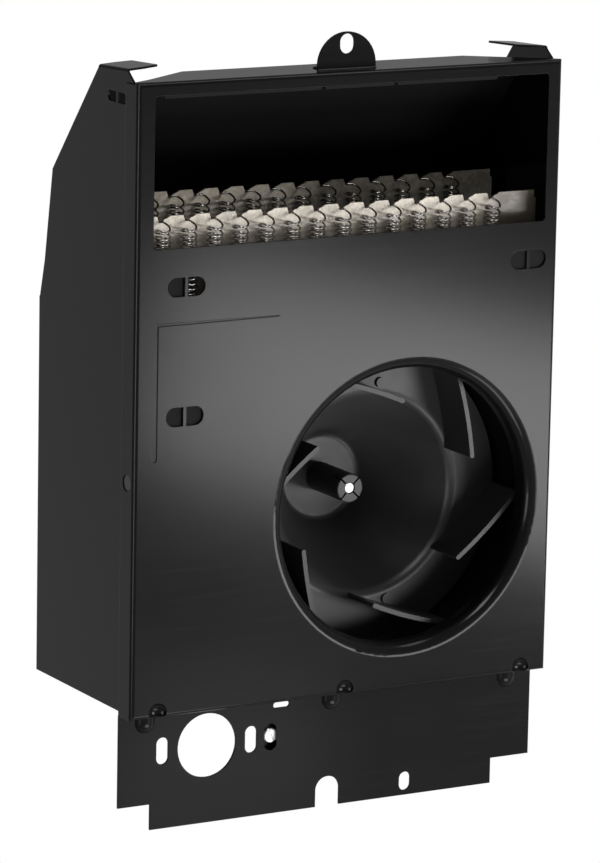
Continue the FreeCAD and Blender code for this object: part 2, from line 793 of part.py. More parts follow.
def air_deflector():
    """Sloped sheet from the top flange to the back, with a lip in tabs under the window's top edge."""
    x = play - side_in
    run_z = -sheet * 3 / 2
    bend_z = -deflector_bend_drop
    inset = sheet * 5 / 2
    foot_z = bend_z - deflector_leg
    run = [Vec(x, deflector_lip_y + sheet / 2, -deflector_lip_drop),
           Vec(x, deflector_lip_y + sheet / 2, run_z),
           Vec(x, flange_d, run_z),
           Vec(x, back_line_y(bend_z, inset), bend_z),
           Vec(x, back_line_y(foot_z, inset), foot_z)]
    body = folded(run, AXIS_X, deflector_bend_r, sheet).extrude(Vec(2 * (side_in - play), 0, 0))
    edges = [0.0]
    for pair in lip_tab_shares:
        edges += pair
    edges.append(1.0)
    lip_z = run_z - sheet / 2 - deflector_bend_r
    gaps = []
    for start, end in zip(edges[::2], edges[1::2]):
        gaps.append(block(start * panel_w - half_w, end * panel_w - half_w, -overrun,
                          deflector_lip_y + sheet + tiny, -deflector_lip_drop - overrun, lip_z))
    notch = prism_z([(-panel_w, mitre_from), (-half_w, mitre_from), (mitre_w - half_w, flange_d),
                     (-half_w, flange_d + deflector_notch_d), (-panel_w, flange_d + deflector_notch_d)],
                    -2 * deflector_notch_d, overrun)
    return body.cut(gaps + [notch, mirrored(notch)])


def arc_spot(centre, radius, angle):
    turn = math.radians(angle)
    return Vec(centre[0] + radius * math.cos(turn), 0, centre[1] + radius * math.sin(turn))


def arc_between(centre, radius, first, last):
    middle = arc_spot(centre, radius, (first + last) / 2)
    return Part.Arc(arc_spot(centre, radius, first), middle, arc_spot(centre, radius, last)).toShape()


def stepped(centre, growth, angle):
    """Middle of the next arc, which is larger by the growth and runs on smoothly at the angle."""
    spot = arc_spot(centre, -growth, angle)
    return spot.x, spot.z


def scroll_arcs():
    """Middles and radii of the scroll's three arcs: at the cut-off, under the wheel and up the left side."""
    throat = wheel_r + scroll_gap
    hub = (axis_x, axis_z)
    belly = stepped(hub, scroll_belly_r - throat, belly_angle)
    side = stepped(belly, scroll_side_r - scroll_belly_r, side_angle)
    return (hub, throat), (belly, scroll_belly_r), (side, scroll_side_r)


def scroll_span(z):
    """Left and right ends of the scroll's outside at a height near its foot, with the play beside it."""
    ends = []
    for (middle, r), side in zip(scroll_arcs()[1:], (1, -1)):
        reach = r + scroll_sheet + play
        ends.append(middle[0] + side * math.sqrt(max(reach ** 2 - (z - middle[1]) ** 2, 0)))
    return min(ends), max(ends)


def blower_scroll():
    """Sheet round the wheel that opens out from the cut-off, under the wheel and up the left side."""
    (hub, throat), (belly, belly_r), (side, side_r) = scroll_arcs()
    nose = stepped(hub, -throat - nose_r, cutoff_angle)
    nose_first = cutoff_angle + 180
    nose_last = nose_first - nose_turn
    nose_end = arc_spot(nose, nose_r, nose_last)
    out = unit(Vec(math.sin(math.radians(nose_last)), 0, -math.cos(math.radians(nose_last))))
    wall_x = side_in - scroll_sheet - play
    wall = nose_end + out * ((wall_x - nose_end.x) / out.x)
    left_x = side[0] - side_r
    turn_z = -scroll_top_drop - scroll_top_r
    corner = (left_x - scroll_top_r, turn_z)
    edges = [line(wall + AXIS_Z * scroll_wall_flange, wall), line(wall, nose_end),
             arc_between(nose, nose_r, nose_last, nose_first),
             arc_between(hub, throat, cutoff_angle, belly_angle),
             arc_between(belly, belly_r, belly_angle, side_angle),
             arc_between(side, side_r, side_angle, -180),
             line(Vec(left_x, 0, side[1]), Vec(left_x, 0, turn_z)), arc_between(corner, scroll_top_r, 0, 90),
             line(Vec(corner[0], 0, -scroll_top_drop), Vec(play - side_in, 0, -scroll_top_drop))]
    face = Part.Wire(edges).makeOffset2D(scroll_sheet, join=2, fill=True, openResult=True)
    body = face.extrude(Vec(0, back_in_y - sheet, 0))
    body.translate(Vec(0, sheet, 0))
    slots = []
    x = terminal_places()[0]
    for card_y, lift in card_places:
        y = card_y + card_t
        slots.append(block(x - terminal_w / 2 - terminal_room, x + terminal_w / 2 + terminal_room,
                           y - terminal_room, y + terminal_t + terminal_room,
                           -scroll_top_drop - overrun, overrun - scroll_top_drop))
    return body.cut(slots)


def blower_wheel():
    """Moulded wheel: ring plate with six blades, deep bowl and a split hub."""
    mid_y = wheel_plate_y + wheel_wall / 2
    base_y = bowl_base_y + wheel_wall / 2
    run = [Vec(axis_x + wheel_r, mid_y, axis_z), Vec(axis_x + bowl_rim_r + wheel_wall / 2, mid_y, axis_z),
           Vec(axis_x + bowl_base_r + wheel_wall / 2, base_y, axis_z),
           Vec(axis_x + hub_r / 2, base_y, axis_z)]
    bowl = turned(folded(run, AXIS_Z, bowl_bend_r, wheel_wall), axis_x, axis_z)
    bowl = bowl.cut(drum(hub_r - wheel_wall, hub_front_y, bowl_base_y + overrun, axis_x, axis_z))
    added = [wheel_hub()]
    for index in range(blade_count):
        added.append(blade(blade_in_angle + index * 360 / blade_count))
    for angle in boss_angles:
        added.append(drum(boss_r, wheel_plate_y - boss_h, mid_y, *polar(boss_reach, angle)))
    return bowl.fuse(added)


def wheel_hub():
    """Hub with crossed slits at its front end, gripping the shaft."""
    rear = bowl_base_y + wheel_wall
    body = drum(hub_r, hub_front_y, rear, axis_x, axis_z)
    body = body.makeFillet(wheel_wall / 3, [e for e in body.Edges if e.BoundBox.YMax < hub_front_y + tiny])
    body = body.cut(drum(shaft_r + press_fit, hub_front_y - overrun, rear + overrun, axis_x, axis_z))
    for angle in hub_slit_angles:
        slit = block(-hub_slit_w / 2, hub_slit_w / 2, hub_front_y - overrun, hub_front_y + hub_slit_d,
                     -2 * hub_r, 2 * hub_r)
        slit.rotate(Vec(0, 0, 0), AXIS_Y, angle)
        body = body.cut(slit.translated(Vec(axis_x, 0, axis_z)))
    return body


def blade(angle):
    """Backward-leaning blade, a little bowed, from the ring plate to its front edge."""
    inner = polar(blade_in_r, angle)
    outer = polar(wheel_r - blade_t / 2, angle + blade_out_angle)
    a = Vec(inner[0], blade_front_y, inner[1])
    b = Vec(outer[0], blade_front_y, outer[1])
    across = unit(b - a).cross(AXIS_Y)
    if across.dot((a + b) / 2 - Vec(axis_x, blade_front_y, axis_z)) < 0:
        across = across * -1
    middle = (a + b) / 2 + across * blade_bow
    lift = across * blade_t / 2
    along = unit(b - a) * blade_t / 2
    edges = [Part.Arc(a + lift, middle + lift, b + lift).toShape(),
             Part.Arc(b + lift, b + along, b - lift).toShape(),
             Part.Arc(b - lift, middle - lift, a - lift).toShape(),
             Part.Arc(a - lift, a - along, a + lift).toShape()]
    return Part.Face(Part.Wire(edges)).extrude(Vec(0, wheel_plate_y + wheel_wall / 2 - blade_front_y, 0))


def front_boss_y():
    """Front and rear of the boss that holds the front bearing."""
    middle = mount_front_y - post_h - bracket_t / 2
    return middle - bearing_len / 2, middle + bearing_len / 2


def rear_boss_y():
    """Front and rear of the boss that holds the rear bearing."""
    front = stack_back_y + post_h
    return front, front + bearing_len


def motor_shaft():
    body = drum(shaft_r, shaft_front_y, rear_boss_y()[1], axis_x, axis_z)
    return body.makeChamfer(shaft_r / 6, [e for e in body.Edges if e.Closed and len(e.Vertexes) == 1])


def bearing_bracket(foot_y, way, boss):
    """Cast bar on two posts, with a boss that holds the bearing."""
    bar_y = sorted((foot_y + way * post_h, foot_y + way * (post_h + bracket_t)))
    body = slot(2 * bolt_reach + bracket_w, bracket_w, axis_x, axis_z, bar_y[0], bar_y[1])
    body = body.fuse(drum(bracket_boss_r, boss[0], boss[1], axis_x, axis_z))
    post_y = sorted((foot_y, bar_y[0] if way > 0 else bar_y[1]))
    for side in (-1, 1):
        body = body.fuse(drum(post_r, post_y[0], post_y[1], axis_x + side * bolt_reach, axis_z))
    cuts = [drum(bearing_r, boss[0] - overrun, boss[1] + overrun, axis_x, axis_z)]
    for side in (-1, 1):
        x = axis_x + side * bolt_reach
        cuts.append(drum(bolt_r + bolt_fit, foot_y - overrun, foot_y + overrun, x, axis_z))
    return body.cut(cuts).removeSplitter()


def front_bearing_bracket():
    return bearing_bracket(mount_front_y, -1, front_boss_y())


def rear_bearing_bracket():
    return bearing_bracket(stack_back_y, 1, rear_boss_y())


def front_bearing():
    return ring(bearing_r, shaft_r + shaft_fit, *front_boss_y(), axis_x, axis_z)


def rear_bearing():
    return ring(bearing_r, shaft_r + shaft_fit, *rear_boss_y(), axis_x, axis_z)


def thrust_washers():
    front = front_boss_y()[1] + washer_gap
    rear = rear_boss_y()[0] - washer_gap - washer_t
    return Part.makeCompound([ring(washer_r, shaft_r + press_fit, y, y + washer_t, axis_x, axis_z)
                              for y in (front, rear)])


def motor_rotor():
    return ring(rotor_r, shaft_r + press_fit, stack_front_y, stack_back_y, axis_x, axis_z)


def rotor_end_rings():
    return Part.makeCompound([
        ring(end_ring_out_r, end_ring_in_r, stack_front_y - end_ring_t, stack_front_y, axis_x, axis_z),
        ring(end_ring_out_r, end_ring_in_r, stack_back_y, stack_back_y + end_ring_t, axis_x, axis_z)])


def shade_places():
    """Pairs of legs of the shading rings, inner and outer, as x and z."""
    inner = rotor_r + air_gap + shade_out
    pairs = []
    for angle in shade_angles:
        outer_leg = polar(inner + shade_w / 2, angle + shade_half_angle)
        pairs.append((polar(inner, angle - shade_half_angle), outer_leg))
    return pairs


def stator_stack():
    """C-shaped pile of laminations with the rotor's bore, the coil's window and the bolt holes."""
    body = rounded(axis_x - stack_w / 2, axis_x + stack_w / 2, stack_front_y, stack_back_y,
                   axis_z - stack_down, axis_z + stack_up, stack_corner_r)
    near = stack_front_y - overrun
    far = stack_back_y + overrun
    cuts = [drum(rotor_r + air_gap, near, far, axis_x, axis_z),
            block(axis_x - coil_half_w, axis_x + coil_half_w, near, far, axis_z + limb_top, axis_z - pole_h)]
    for side in (-1, 1):
        cuts.append(drum(bolt_r + bolt_fit, near, far, axis_x + side * bolt_reach, axis_z))
    for pair in shade_places():
        cuts += [drum(shade_wire_r + tiny, near, far, x, z) for x, z in pair]
    return body.cut(cuts)


def shading_rings():
    """Copper loops through the poles: two legs in the stack and a flat strap across each face."""
    bodies = []
    for a, b in shade_places():
        reach = math.hypot(b[0] - a[0], b[1] - a[1])
        strap = slot(reach + 2 * shade_strap_r, 2 * shade_strap_r, reach / 2, 0, 0, shade_strap_t)
        strap.rotate(Vec(0, 0, 0), AXIS_Y, -math.degrees(math.atan2(b[1] - a[1], b[0] - a[0])))
        strap.translate(Vec(a[0], 0, a[1]))
        near = stack_front_y - shade_strap_t
        loop = strap.translated(Vec(0, near, 0)).fuse(strap.translated(Vec(0, stack_back_y, 0)))
        legs = [drum(shade_wire_r, stack_front_y - tiny, stack_back_y + tiny, x, z) for x, z in (a, b)]
        bodies.append(loop.fuse(legs))
    return Part.makeCompound(bodies)


def limb_sleeve(inner, outer, half_length):
    """Square tube round the stack's lower limb, by how far its faces stand off the limb."""
    x0 = axis_x - half_length
    x1 = axis_x + half_length
    z0 = axis_z - stack_down
    z1 = axis_z + limb_top
    body = block(x0, x1, stack_front_y - outer, stack_back_y + outer, z0 - outer, z1 + outer)
    return body.cut(block(x0 - overrun, x1 + overrun, stack_front_y - inner, stack_back_y + inner,
                          z0 - inner, z1 + inner))


def coil_bobbin():
    """Moulded bobbin on the limb: a sleeve with a cheek at each end."""
    half = coil_half_w - play
    body = limb_sleeve(bobbin_fit, winding_in, half)
    cheek = limb_sleeve(bobbin_fit, winding_in + winding_t - tiny, bobbin_wall / 2)
    shift = half - bobbin_wall / 2
    return body.fuse([cheek.translated(Vec(side * shift, 0, 0)) for side in (-1, 1)]).removeSplitter()


def field_winding():
    half = coil_half_w - play - bobbin_wall - tiny
    body = limb_sleeve(winding_in, winding_in + winding_t - winding_margin, half)
    return body.makeFillet(winding_margin, outer_edges_along_x(body))


def outer_edges_along_x(body):
    box = body.BoundBox
    found = []
    for edge in edges_along(body, AXIS_X):
        middle = edge.CenterOfMass
        at_y = min(abs(middle.y - box.YMin), abs(middle.y - box.YMax)) < tiny
        at_z = min(abs(middle.z - box.ZMin), abs(middle.z - box.ZMax)) < tiny
        if at_y and at_z:
            found.append(edge)
    return found


def motor_terminals():
    """Two blades that stand out of the bobbin's cheeks to the sides."""
    y = stack_back_y + winding_in
    z = axis_z - stack_down - bobbin_fit
    x = coil_half_w - play
    low = z - bobbin_wall - terminal_w / 2
    right = block(axis_x + x, axis_x + x + terminal_len, y, y + terminal_t, low, low + terminal_w)
    left = block(axis_x - x - terminal_len, axis_x - x, y, y + terminal_t, low, low + terminal_w)
    return Part.makeCompound([right, left])


def bolt_span():
    return mount_front_y - post_h - bracket_t, stack_back_y + post_h + bracket_t


def motor_bolts():
    near, far = bolt_span()
    return Part.makeCompound([screw(axis_x + side * bolt_reach, axis_z, near, 1, bolt_r, far + nut_h - near,
                                    bolt_head_r, bolt_head_h) for side in (-1, 1)])


def motor_nuts():
    y = bolt_span()[1]
    bodies = []
    for side in (-1, 1):
        x = axis_x + side * bolt_reach
        outline = []
        for corner in range(6):
            turn = math.radians(60 * corner)
            outline.append((x + nut_r * math.cos(turn), axis_z + nut_r * math.sin(turn)))
        bodies.append(prism_y(outline, y, y + nut_h).cut(
            drum(bolt_r + tiny, y - overrun, y + nut_h + overrun, x, axis_z)))
    return Part.makeCompound(bodies)


def mount_screw_places():
    spots = []
    for side in (-1, 1):
        for end in (-1, 1):
            spots.append((axis_x + side * mount_screw_reach, axis_z + end * mount_screw_spread / 2))
    return spots


def motor_mount():
    """Pressed bridge across the back panel's window, with the motor on its raised middle."""
    seat_y = back_in_y - mount_t / 2
    top_y = mount_front_y + mount_t / 2
    low = axis_z - mount_h / 2
    rise = seat_y - top_y
    run = [Vec(axis_x - mount_half_w, seat_y, low), Vec(axis_x - mount_step_w - rise, seat_y, low),
           Vec(axis_x - mount_step_w, top_y, low), Vec(axis_x + mount_step_w, top_y, low),
           Vec(axis_x + mount_step_w + rise, seat_y, low), Vec(axis_x + mount_half_w, seat_y, low)]
    body = folded(run, AXIS_Z, mount_bend_r, mount_t).extrude(Vec(0, 0, mount_h))
    near = mount_front_y - overrun
    far = side_d
    cuts = [drum(mount_hole_r, near, far, axis_x, axis_z)]
    for side in (-1, 1):
        cuts.append(drum(bolt_r + bolt_fit, near, far, axis_x + side * bolt_reach, axis_z))
    for x, z in mount_screw_places():
        cuts.append(drum(mount_screw_r + play, near, far, x, z))
    for pair in shade_places():
        cuts += [drum(2 * shade_wire_r + shade_w / 2, near, far, x, z) for x, z in pair]
    return body.cut(cuts)


def motor_mount_screws():
    return Part.makeCompound([screw(x, z, back_in_y + sheet, -1, mount_screw_r, sheet + mount_t + overrun / 2,
                                    mount_screw_head_r, mount_screw_head_h) for x, z in mount_screw_places()])


def tooth_places(first):
    return [first - half_w + index * tooth_pitch for index in range(tooth_count)]


def element_card(y, first):
    """Mica card: teeth along the top that the wire hangs between, small notches along the foot."""
    left = card_left - half_w
    right = half_w - card_right
    top = -card_top_drop
    low = top - notch_depth
    outline = [(left, -card_bottom_drop), (left, top)]
    for x in tooth_places(first):
        steep = x - notch_gap / 2
        slope = x + notch_gap / 2
        outline += [(steep - steep_w_share * tooth_pitch, top), (steep, low), (slope, low)]
        outline += [(slope + across * tooth_pitch, low + rise * notch_depth)
                    for across, rise in zip(lean_w_shares, lean_h_shares)]
    outline += [(right - card_shoulder_w, top), (right - card_shoulder_w, top - card_shoulder_h),
                (right, top - card_shoulder_h), (right, -card_bottom_drop)]
    for x in reversed(tooth_places(first)):
        foot = x + coil_r
        outline += [(foot + notch_gap / 2, -card_bottom_drop),
                    (foot + notch_gap / 2, foot_notch_depth - card_bottom_drop),
                    (foot - notch_gap / 2, foot_notch_depth - card_bottom_drop),
                    (foot - notch_gap / 2, -card_bottom_drop)]
    body = prism_y(outline, y, y + card_t)
    holes = []
    for x in terminal_places():
        holes.append(drum(rivet_r + tiny, y - overrun, y + overrun, x, -terminal_rivet_drop))
    return body.cut(holes)


def terminal_places():
    return [card_left - half_w + terminal_inset, half_w - card_right - terminal_inset]


def element_terminals():
    bodies = []
    for card_y, lift in card_places:
        y = card_y + card_t
        z = lift - terminal_rivet_drop
        for x in terminal_places():
            tab = block(x - terminal_w / 2, x + terminal_w / 2, y, y + terminal_t,
                        lift - card_bottom_drop - terminal_tail, lift - terminal_top_drop)
            bodies.append(tab.cut(drum(rivet_r + tiny, y - overrun, y + overrun, x, z)))
    return Part.makeCompound(bodies)


def terminal_rivets():
    bodies = []
    for y, lift in card_places:
        back = y + card_t + terminal_t
        z = lift - terminal_rivet_drop
        for x in terminal_places():
            shank = drum(rivet_r, y - rivet_head_h, back + rivet_head_h, x, z)
            heads = [drum(rivet_head_r, seat, seat + rivet_head_h, x, z) for seat in (y - rivet_head_h, back)]
            bodies.append(shank.fuse(heads).removeSplitter())
    return Part.makeCompound(bodies)


def coil_stations(y, first):
    """Places and headings that one card's wire passes through, from terminal to terminal."""
    back_y = y + card_t + back_loop
    mid_y = y + card_t / 2
    turn_y = y - coil_card_gap - wire_r - coil_r
    crest = -card_top_drop - notch_depth + wire_r + wire_gap
    foot = foot_notch_depth - card_bottom_drop - wire_r - wire_gap
    tab_y = y + card_t + terminal_t
    ends = terminal_places()
    end_z = -lead_end_drop
    up = AXIS_Z
    ahead = AXIS_Y * -1
    stations = [(Vec(ends[0], tab_y, end_z), AXIS_Y), (Vec(ends[0], tab_y + 2 * wire_r, end_z), AXIS_Y)]
    for x in tooth_places(first):
        stations.append((Vec(x, back_y, crest - bend_reach), up))
        stations.append((Vec(x, mid_y, crest), ahead))
        for half in range(2 * coil_turns + 1):
            turn = -math.pi * half
            fall = coil_pitch / (2 * math.pi)
            place = Vec(x + coil_r * math.cos(turn), turn_y + coil_r * math.sin(turn),
                        crest - coil_drop - coil_pitch * half / 2)
            heading = unit(Vec(coil_r * math.sin(turn), -coil_r * math.cos(turn), -fall))
            stations.append((place, heading))
        leg_x = x + coil_r
        leg_y = turn_y - leg_forward
        coil_foot = crest - coil_drop - coil_pitch * coil_turns
        stations.append((Vec(leg_x, leg_y, coil_foot - bend_reach), up * -1))
        stations.append((Vec(leg_x, leg_y, foot + bend_reach), up * -1))
        stations.append((Vec(leg_x, mid_y, foot), AXIS_Y))
        stations.append((Vec(leg_x, back_y, foot + bend_reach), up))
    stations.append((Vec(ends[1], tab_y + 2 * wire_r, end_z), ahead))
    stations.append((Vec(ends[1], tab_y, end_z), ahead))
    return stations


def arc_from(a, heading, b):
    """Arc, or line, that leaves a along the heading and ends at b; with its radius."""
    chord = b - a
    way = unit(chord)
    aside = heading - way * heading.dot(way)
    if aside.Length < tiny * tiny:
        return line(a, b), math.inf
    angle = math.atan2(aside.Length, heading.dot(way))
    middle = (a + b) / 2 + unit(aside) * chord.Length / 2 * math.tan(angle / 2)
    return Part.Arc(a, middle, b).toShape(), chord.Length / 2 / math.sin(angle)


def biarc(a, heading_a, b, heading_b):
    """Two arcs that join smoothly: the joint lies equally far along both headings."""
    across = b - a
    spread = 2 * (1 - heading_a.dot(heading_b))
    along = across.dot(heading_a + heading_b)
    if spread < tiny * tiny:
        reach = across.dot(across) / (4 * across.dot(heading_b))
    else:
        reach = (math.sqrt(along * along + spread * across.dot(across)) - along) / spread
    joint = (a + b + (heading_a - heading_b) * reach) / 2
    first = arc_from(a, heading_a, joint)
    last = arc_from(b, heading_b * -1, joint)
    return [first, (reverse_arc(last[0]), last[1])]


def reverse_arc(edge):
    """The same edge drawn from its other end."""
    points = edge.discretize(3)
    if edge.Curve.TypeId == "Part::GeomLine":
        return line(points[2], points[0])
    return Part.Arc(points[2], points[1], points[0]).toShape()


def least_gap(points, thickness):
    """Least distance between the skins of two stretches that are not neighbours along the wire."""
    apart = int(4 * thickness / sample_step)
    cell = 3 * thickness
    cells = {}
    for index, point in enumerate(points):
        key = (int(point.x // cell), int(point.y // cell), int(point.z // cell))
        cells.setdefault(key, []).append(index)
    best = math.inf
    near = [(i, j, k) for i in (-1, 0, 1) for j in (-1, 0, 1) for k in (-1, 0, 1)]
    for key, members in cells.items():
        others = []
        for step in near:
            others += cells.get((key[0] + step[0], key[1] + step[1], key[2] + step[2]), [])
        for a in members:
            for b in others:
                if b - a > apart:
                    best = min(best, (points[a] - points[b]).Length)
    return best - thickness


def heating_coil(name, y, first):
    """Wound wire of one card, as one unbroken tube."""
    stations = coil_stations(y, first)
    pieces = []
    for (a, heading_a), (b, heading_b) in zip(stations, stations[1:]):
        straight = (b - a).cross(heading_a).Length + (b - a).cross(heading_b).Length
        if straight < tiny:
            pieces.append((line(a, b), math.inf))
        else:
            pieces += biarc(a, heading_a, b, heading_b)
    path = Part.Wire([edge for edge, radius in pieces])
    start, heading = stations[0]
    section = Part.Wire(Part.makeCircle(wire_r, start, heading))
    body = path.makePipeShell([section], True, False)
    points = []
    for edge, radius in pieces:
        points += edge.discretize(max(2, int(edge.Length / sample_step)))[:-1]
    gap = least_gap(points, 2 * wire_r)
    tightest = min(radius for edge, radius in pieces)
    share = body.Volume / (math.pi * wire_r ** 2 * path.Length)
    print(name, "gap to itself", round(gap, 2), "tightest bend", round(tightest, 2))
    print(name, "volume against wire length", round(share, 4))
    if gap < min_wire_gap:
        print(name, "is closer to itself than", min_wire_gap)
    return body


def right_element_bracket():
    """Plate on the side with a clip for each card's end and a foot on the front panel."""
    wall = side_in
    plate_x = wall - clip_sheet
    low = -card_bottom_drop - clip_sheet
    body = block(plate_x, wall, sheet, bracket_back_y, low, -bracket_top_drop)
    parts = []
    for y, lift in card_places:
        front = y - clip_fit
        back = y + card_t + clip_fit
        reach = plate_x - clip_reach
        floor = lift - card_bottom_drop
        parts.append(block(reach, plate_x, front - clip_sheet, front, floor - clip_sheet, -clip_top_drop))
        parts.append(block(reach, plate_x, back, back + clip_sheet, floor - clip_sheet, -clip_top_drop))
        parts.append(block(reach, plate_x, front - clip_sheet, back + clip_sheet, floor - clip_sheet, floor))
    foot_x = half_w - right_lance_inset - lance_w / 2 - lance_bridge
    parts.append(block(foot_x, plate_x, sheet, sheet + clip_sheet, -upper_lance_drop - foot_h / 2,
                       foot_h / 2 - upper_lance_drop))
    return body.fuse(parts).removeSplitter()


def left_element_bracket():
    return mirrored(right_element_bracket())


def limit_bracket():
    """Strap on the lower lance, bent back into a shelf for the switch."""
    left = limit_x - limit_strap_w / 2
    mid_y = sheet + clip_sheet / 2
    top = -limit_strap_top_drop - clip_sheet / 2
    run = [Vec(left, mid_y, -limit_strap_drop), Vec(left, mid_y, top), Vec(left, limit_shelf_d, top)]
    body = folded(run, AXIS_X, limit_bend_r, clip_sheet).extrude(Vec(limit_strap_w, 0, 0))
    cap = Part.makeCylinder(limit_cap_r + play, 2 * overrun, Vec(limit_x, limit_mid_y, top - overrun))
    return body.cut([cap] + limit_screw_cuts())


def limit_screw_cuts():
    cuts = []
    for side in (-1, 1):
        start = Vec(limit_x, limit_mid_y + side * limit_screw_reach, -limit_strap_top_drop - 2 * overrun)
        cuts.append(Part.makeCylinder(limit_screw_r + tiny, 4 * overrun, start))
    return cuts


def limit_switch():
    """Snap switch: moulded body under the shelf, metal ears, and a cap that feels the air through it."""
    shelf = -limit_strap_top_drop - clip_sheet
    ears = block(limit_x - limit_ear_h / 2, limit_x + limit_ear_h / 2, limit_mid_y - limit_ear_w / 2,
                 limit_mid_y + limit_ear_w / 2, shelf - limit_ear_t, shelf)
    ears = ears.makeFillet(limit_ear_h / 3, edges_along(ears, AXIS_Z)).cut(limit_screw_cuts())
    low = shelf - limit_ear_t - limit_body_h
    body = Part.makeCylinder(limit_body_r, limit_body_h, Vec(limit_x, limit_mid_y, low))
    cap = Part.makeCylinder(limit_cap_r, limit_cap_h, Vec(limit_x, limit_mid_y, shelf))
    return ears.fuse([body, cap]).removeSplitter()


def limit_terminals():
    low = -limit_strap_top_drop - clip_sheet - limit_ear_t - limit_body_h
    bodies = []
    for side in (-1, 1):
        mid = limit_x + side * limit_terminal_reach
        bodies.append(block(mid - terminal_t / 2, mid + terminal_t / 2, limit_mid_y - limit_terminal_w / 2,
                            limit_mid_y + limit_terminal_w / 2, low - limit_terminal_h, low))
    return Part.makeCompound(bodies)


def limit_screws():
    bodies = []
    for side in (-1, 1):
        spot = Vec(limit_x, limit_mid_y + side * limit_screw_reach, -limit_strap_top_drop)
        head = Part.makeCylinder(limit_screw_head_r, limit_screw_head_h, spot)
        shank = Part.makeCylinder(limit_screw_r, clip_sheet + limit_ear_t + overrun / 2, spot, AXIS_Z * -1)
        bodies.append(head.fuse(shank).removeSplitter())
    return Part.makeCompound(bodies)


def pieces():
    """Every piece by the name of its node."""
    plain = (front_panel, left_side_panel, right_side_panel, back_panel, back_panel_screws, bottom_panel,
             ground_screw, side_rivets, air_deflector, blower_scroll, blower_wheel, motor_shaft,
             front_bearing_bracket, rear_bearing_bracket, front_bearing, rear_bearing, thrust_washers,
             motor_rotor, rotor_end_rings, stator_stack, shading_rings, coil_bobbin, field_winding,
             motor_terminals, motor_bolts, motor_nuts, motor_mount, motor_mount_screws, element_terminals,
             terminal_rivets, right_element_bracket, left_element_bracket, limit_bracket, limit_switch,
             limit_terminals, limit_screws)
    made = {make.__name__: make() for make in plain}
    for name, (y, lift), first in zip(("front", "rear"), card_places, tooth_starts):
        rise = Vec(0, 0, lift)
        made[name + "_element_card"] = element_card(y, first).translated(rise)
        made[name + "_heating_coil"] = heating_coil(name + "_heating_coil", y, first).translated(rise)
    return made


def main():
    os.makedirs("parts", exist_ok=True)
    origin = Vec(0, -ear_y - sheet / 2, -ear_slot_z)
    for name, shape in pieces().items():
        body = shape.copy()
        body.translate(origin)
        body.exportStep("parts/" + name + ".step")
        print(name, len(body.Solids), body.isValid(), round(body.Volume, 1))


main()
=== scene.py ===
import json
import logging
from dataclasses import dataclass
from enum import Enum, IntEnum
from typing import Any

import bpy
import numpy as np
from mathutils import Matrix, Quaternion, Vector


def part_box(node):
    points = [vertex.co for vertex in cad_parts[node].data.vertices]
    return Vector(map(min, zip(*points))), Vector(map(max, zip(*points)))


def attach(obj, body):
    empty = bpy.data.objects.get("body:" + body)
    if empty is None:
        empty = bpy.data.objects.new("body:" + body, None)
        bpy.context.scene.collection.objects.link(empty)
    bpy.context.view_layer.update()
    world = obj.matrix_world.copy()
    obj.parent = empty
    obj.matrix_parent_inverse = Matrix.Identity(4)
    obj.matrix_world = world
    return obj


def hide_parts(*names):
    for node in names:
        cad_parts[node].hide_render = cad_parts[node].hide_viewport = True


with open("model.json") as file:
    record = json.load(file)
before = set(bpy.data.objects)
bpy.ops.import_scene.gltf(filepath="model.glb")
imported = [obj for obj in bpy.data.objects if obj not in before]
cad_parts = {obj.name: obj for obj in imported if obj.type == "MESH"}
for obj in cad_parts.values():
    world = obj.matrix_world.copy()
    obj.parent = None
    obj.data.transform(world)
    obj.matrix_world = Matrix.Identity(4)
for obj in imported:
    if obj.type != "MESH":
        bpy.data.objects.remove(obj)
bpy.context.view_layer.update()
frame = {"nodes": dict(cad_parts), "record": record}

LOG = logging.getLogger("fan_heater")
MM = 0.001
Triple = tuple[float, float, float]
Colour = Triple
Stops = tuple[tuple[float, float], tuple[float, float]]

# The panel's frame counts x from the front panel's middle, y from its face and z from its top edge, in
# millimetres. The part's origin, the middle of the hanging ear's slot, lies there at x 0 and this y and z.
EAR_Y = 7.75
EAR_Z = 10.3

UP = np.array([0.0, 0.0, 1.0])
AHEAD = np.array([0.0, -1.0, 0.0])
ABACK = np.array([0.0, 1.0, 0.0])

WHITE = (1.0, 1.0, 1.0, 1.0)

# A Mix node holds its sockets for colours behind those for numbers and vectors, under the same names.
MIX_SHARE, MIX_FIRST, MIX_SECOND, MIX_RESULT = 0, 6, 7, 2


def from_panel(points: np.ndarray) -> np.ndarray:
    """Move points from the panel's frame in millimetres to the part's frame in metres.

    Args:
        points: array whose last axis holds x, y and z.

    Returns:
        The moved points, of the same shape.
    """
    return (np.asarray(points, float) - np.array([0.0, EAR_Y, EAR_Z])) * MM


class Body(Enum):
    """The two rigid bodies of the heater."""

    CASING = "casing"
    FAN = "fan"


class Axis(IntEnum):
    """The part's axes, in the order of a vector's numbers."""

    X = 0
    Y = 1
    Z = 2


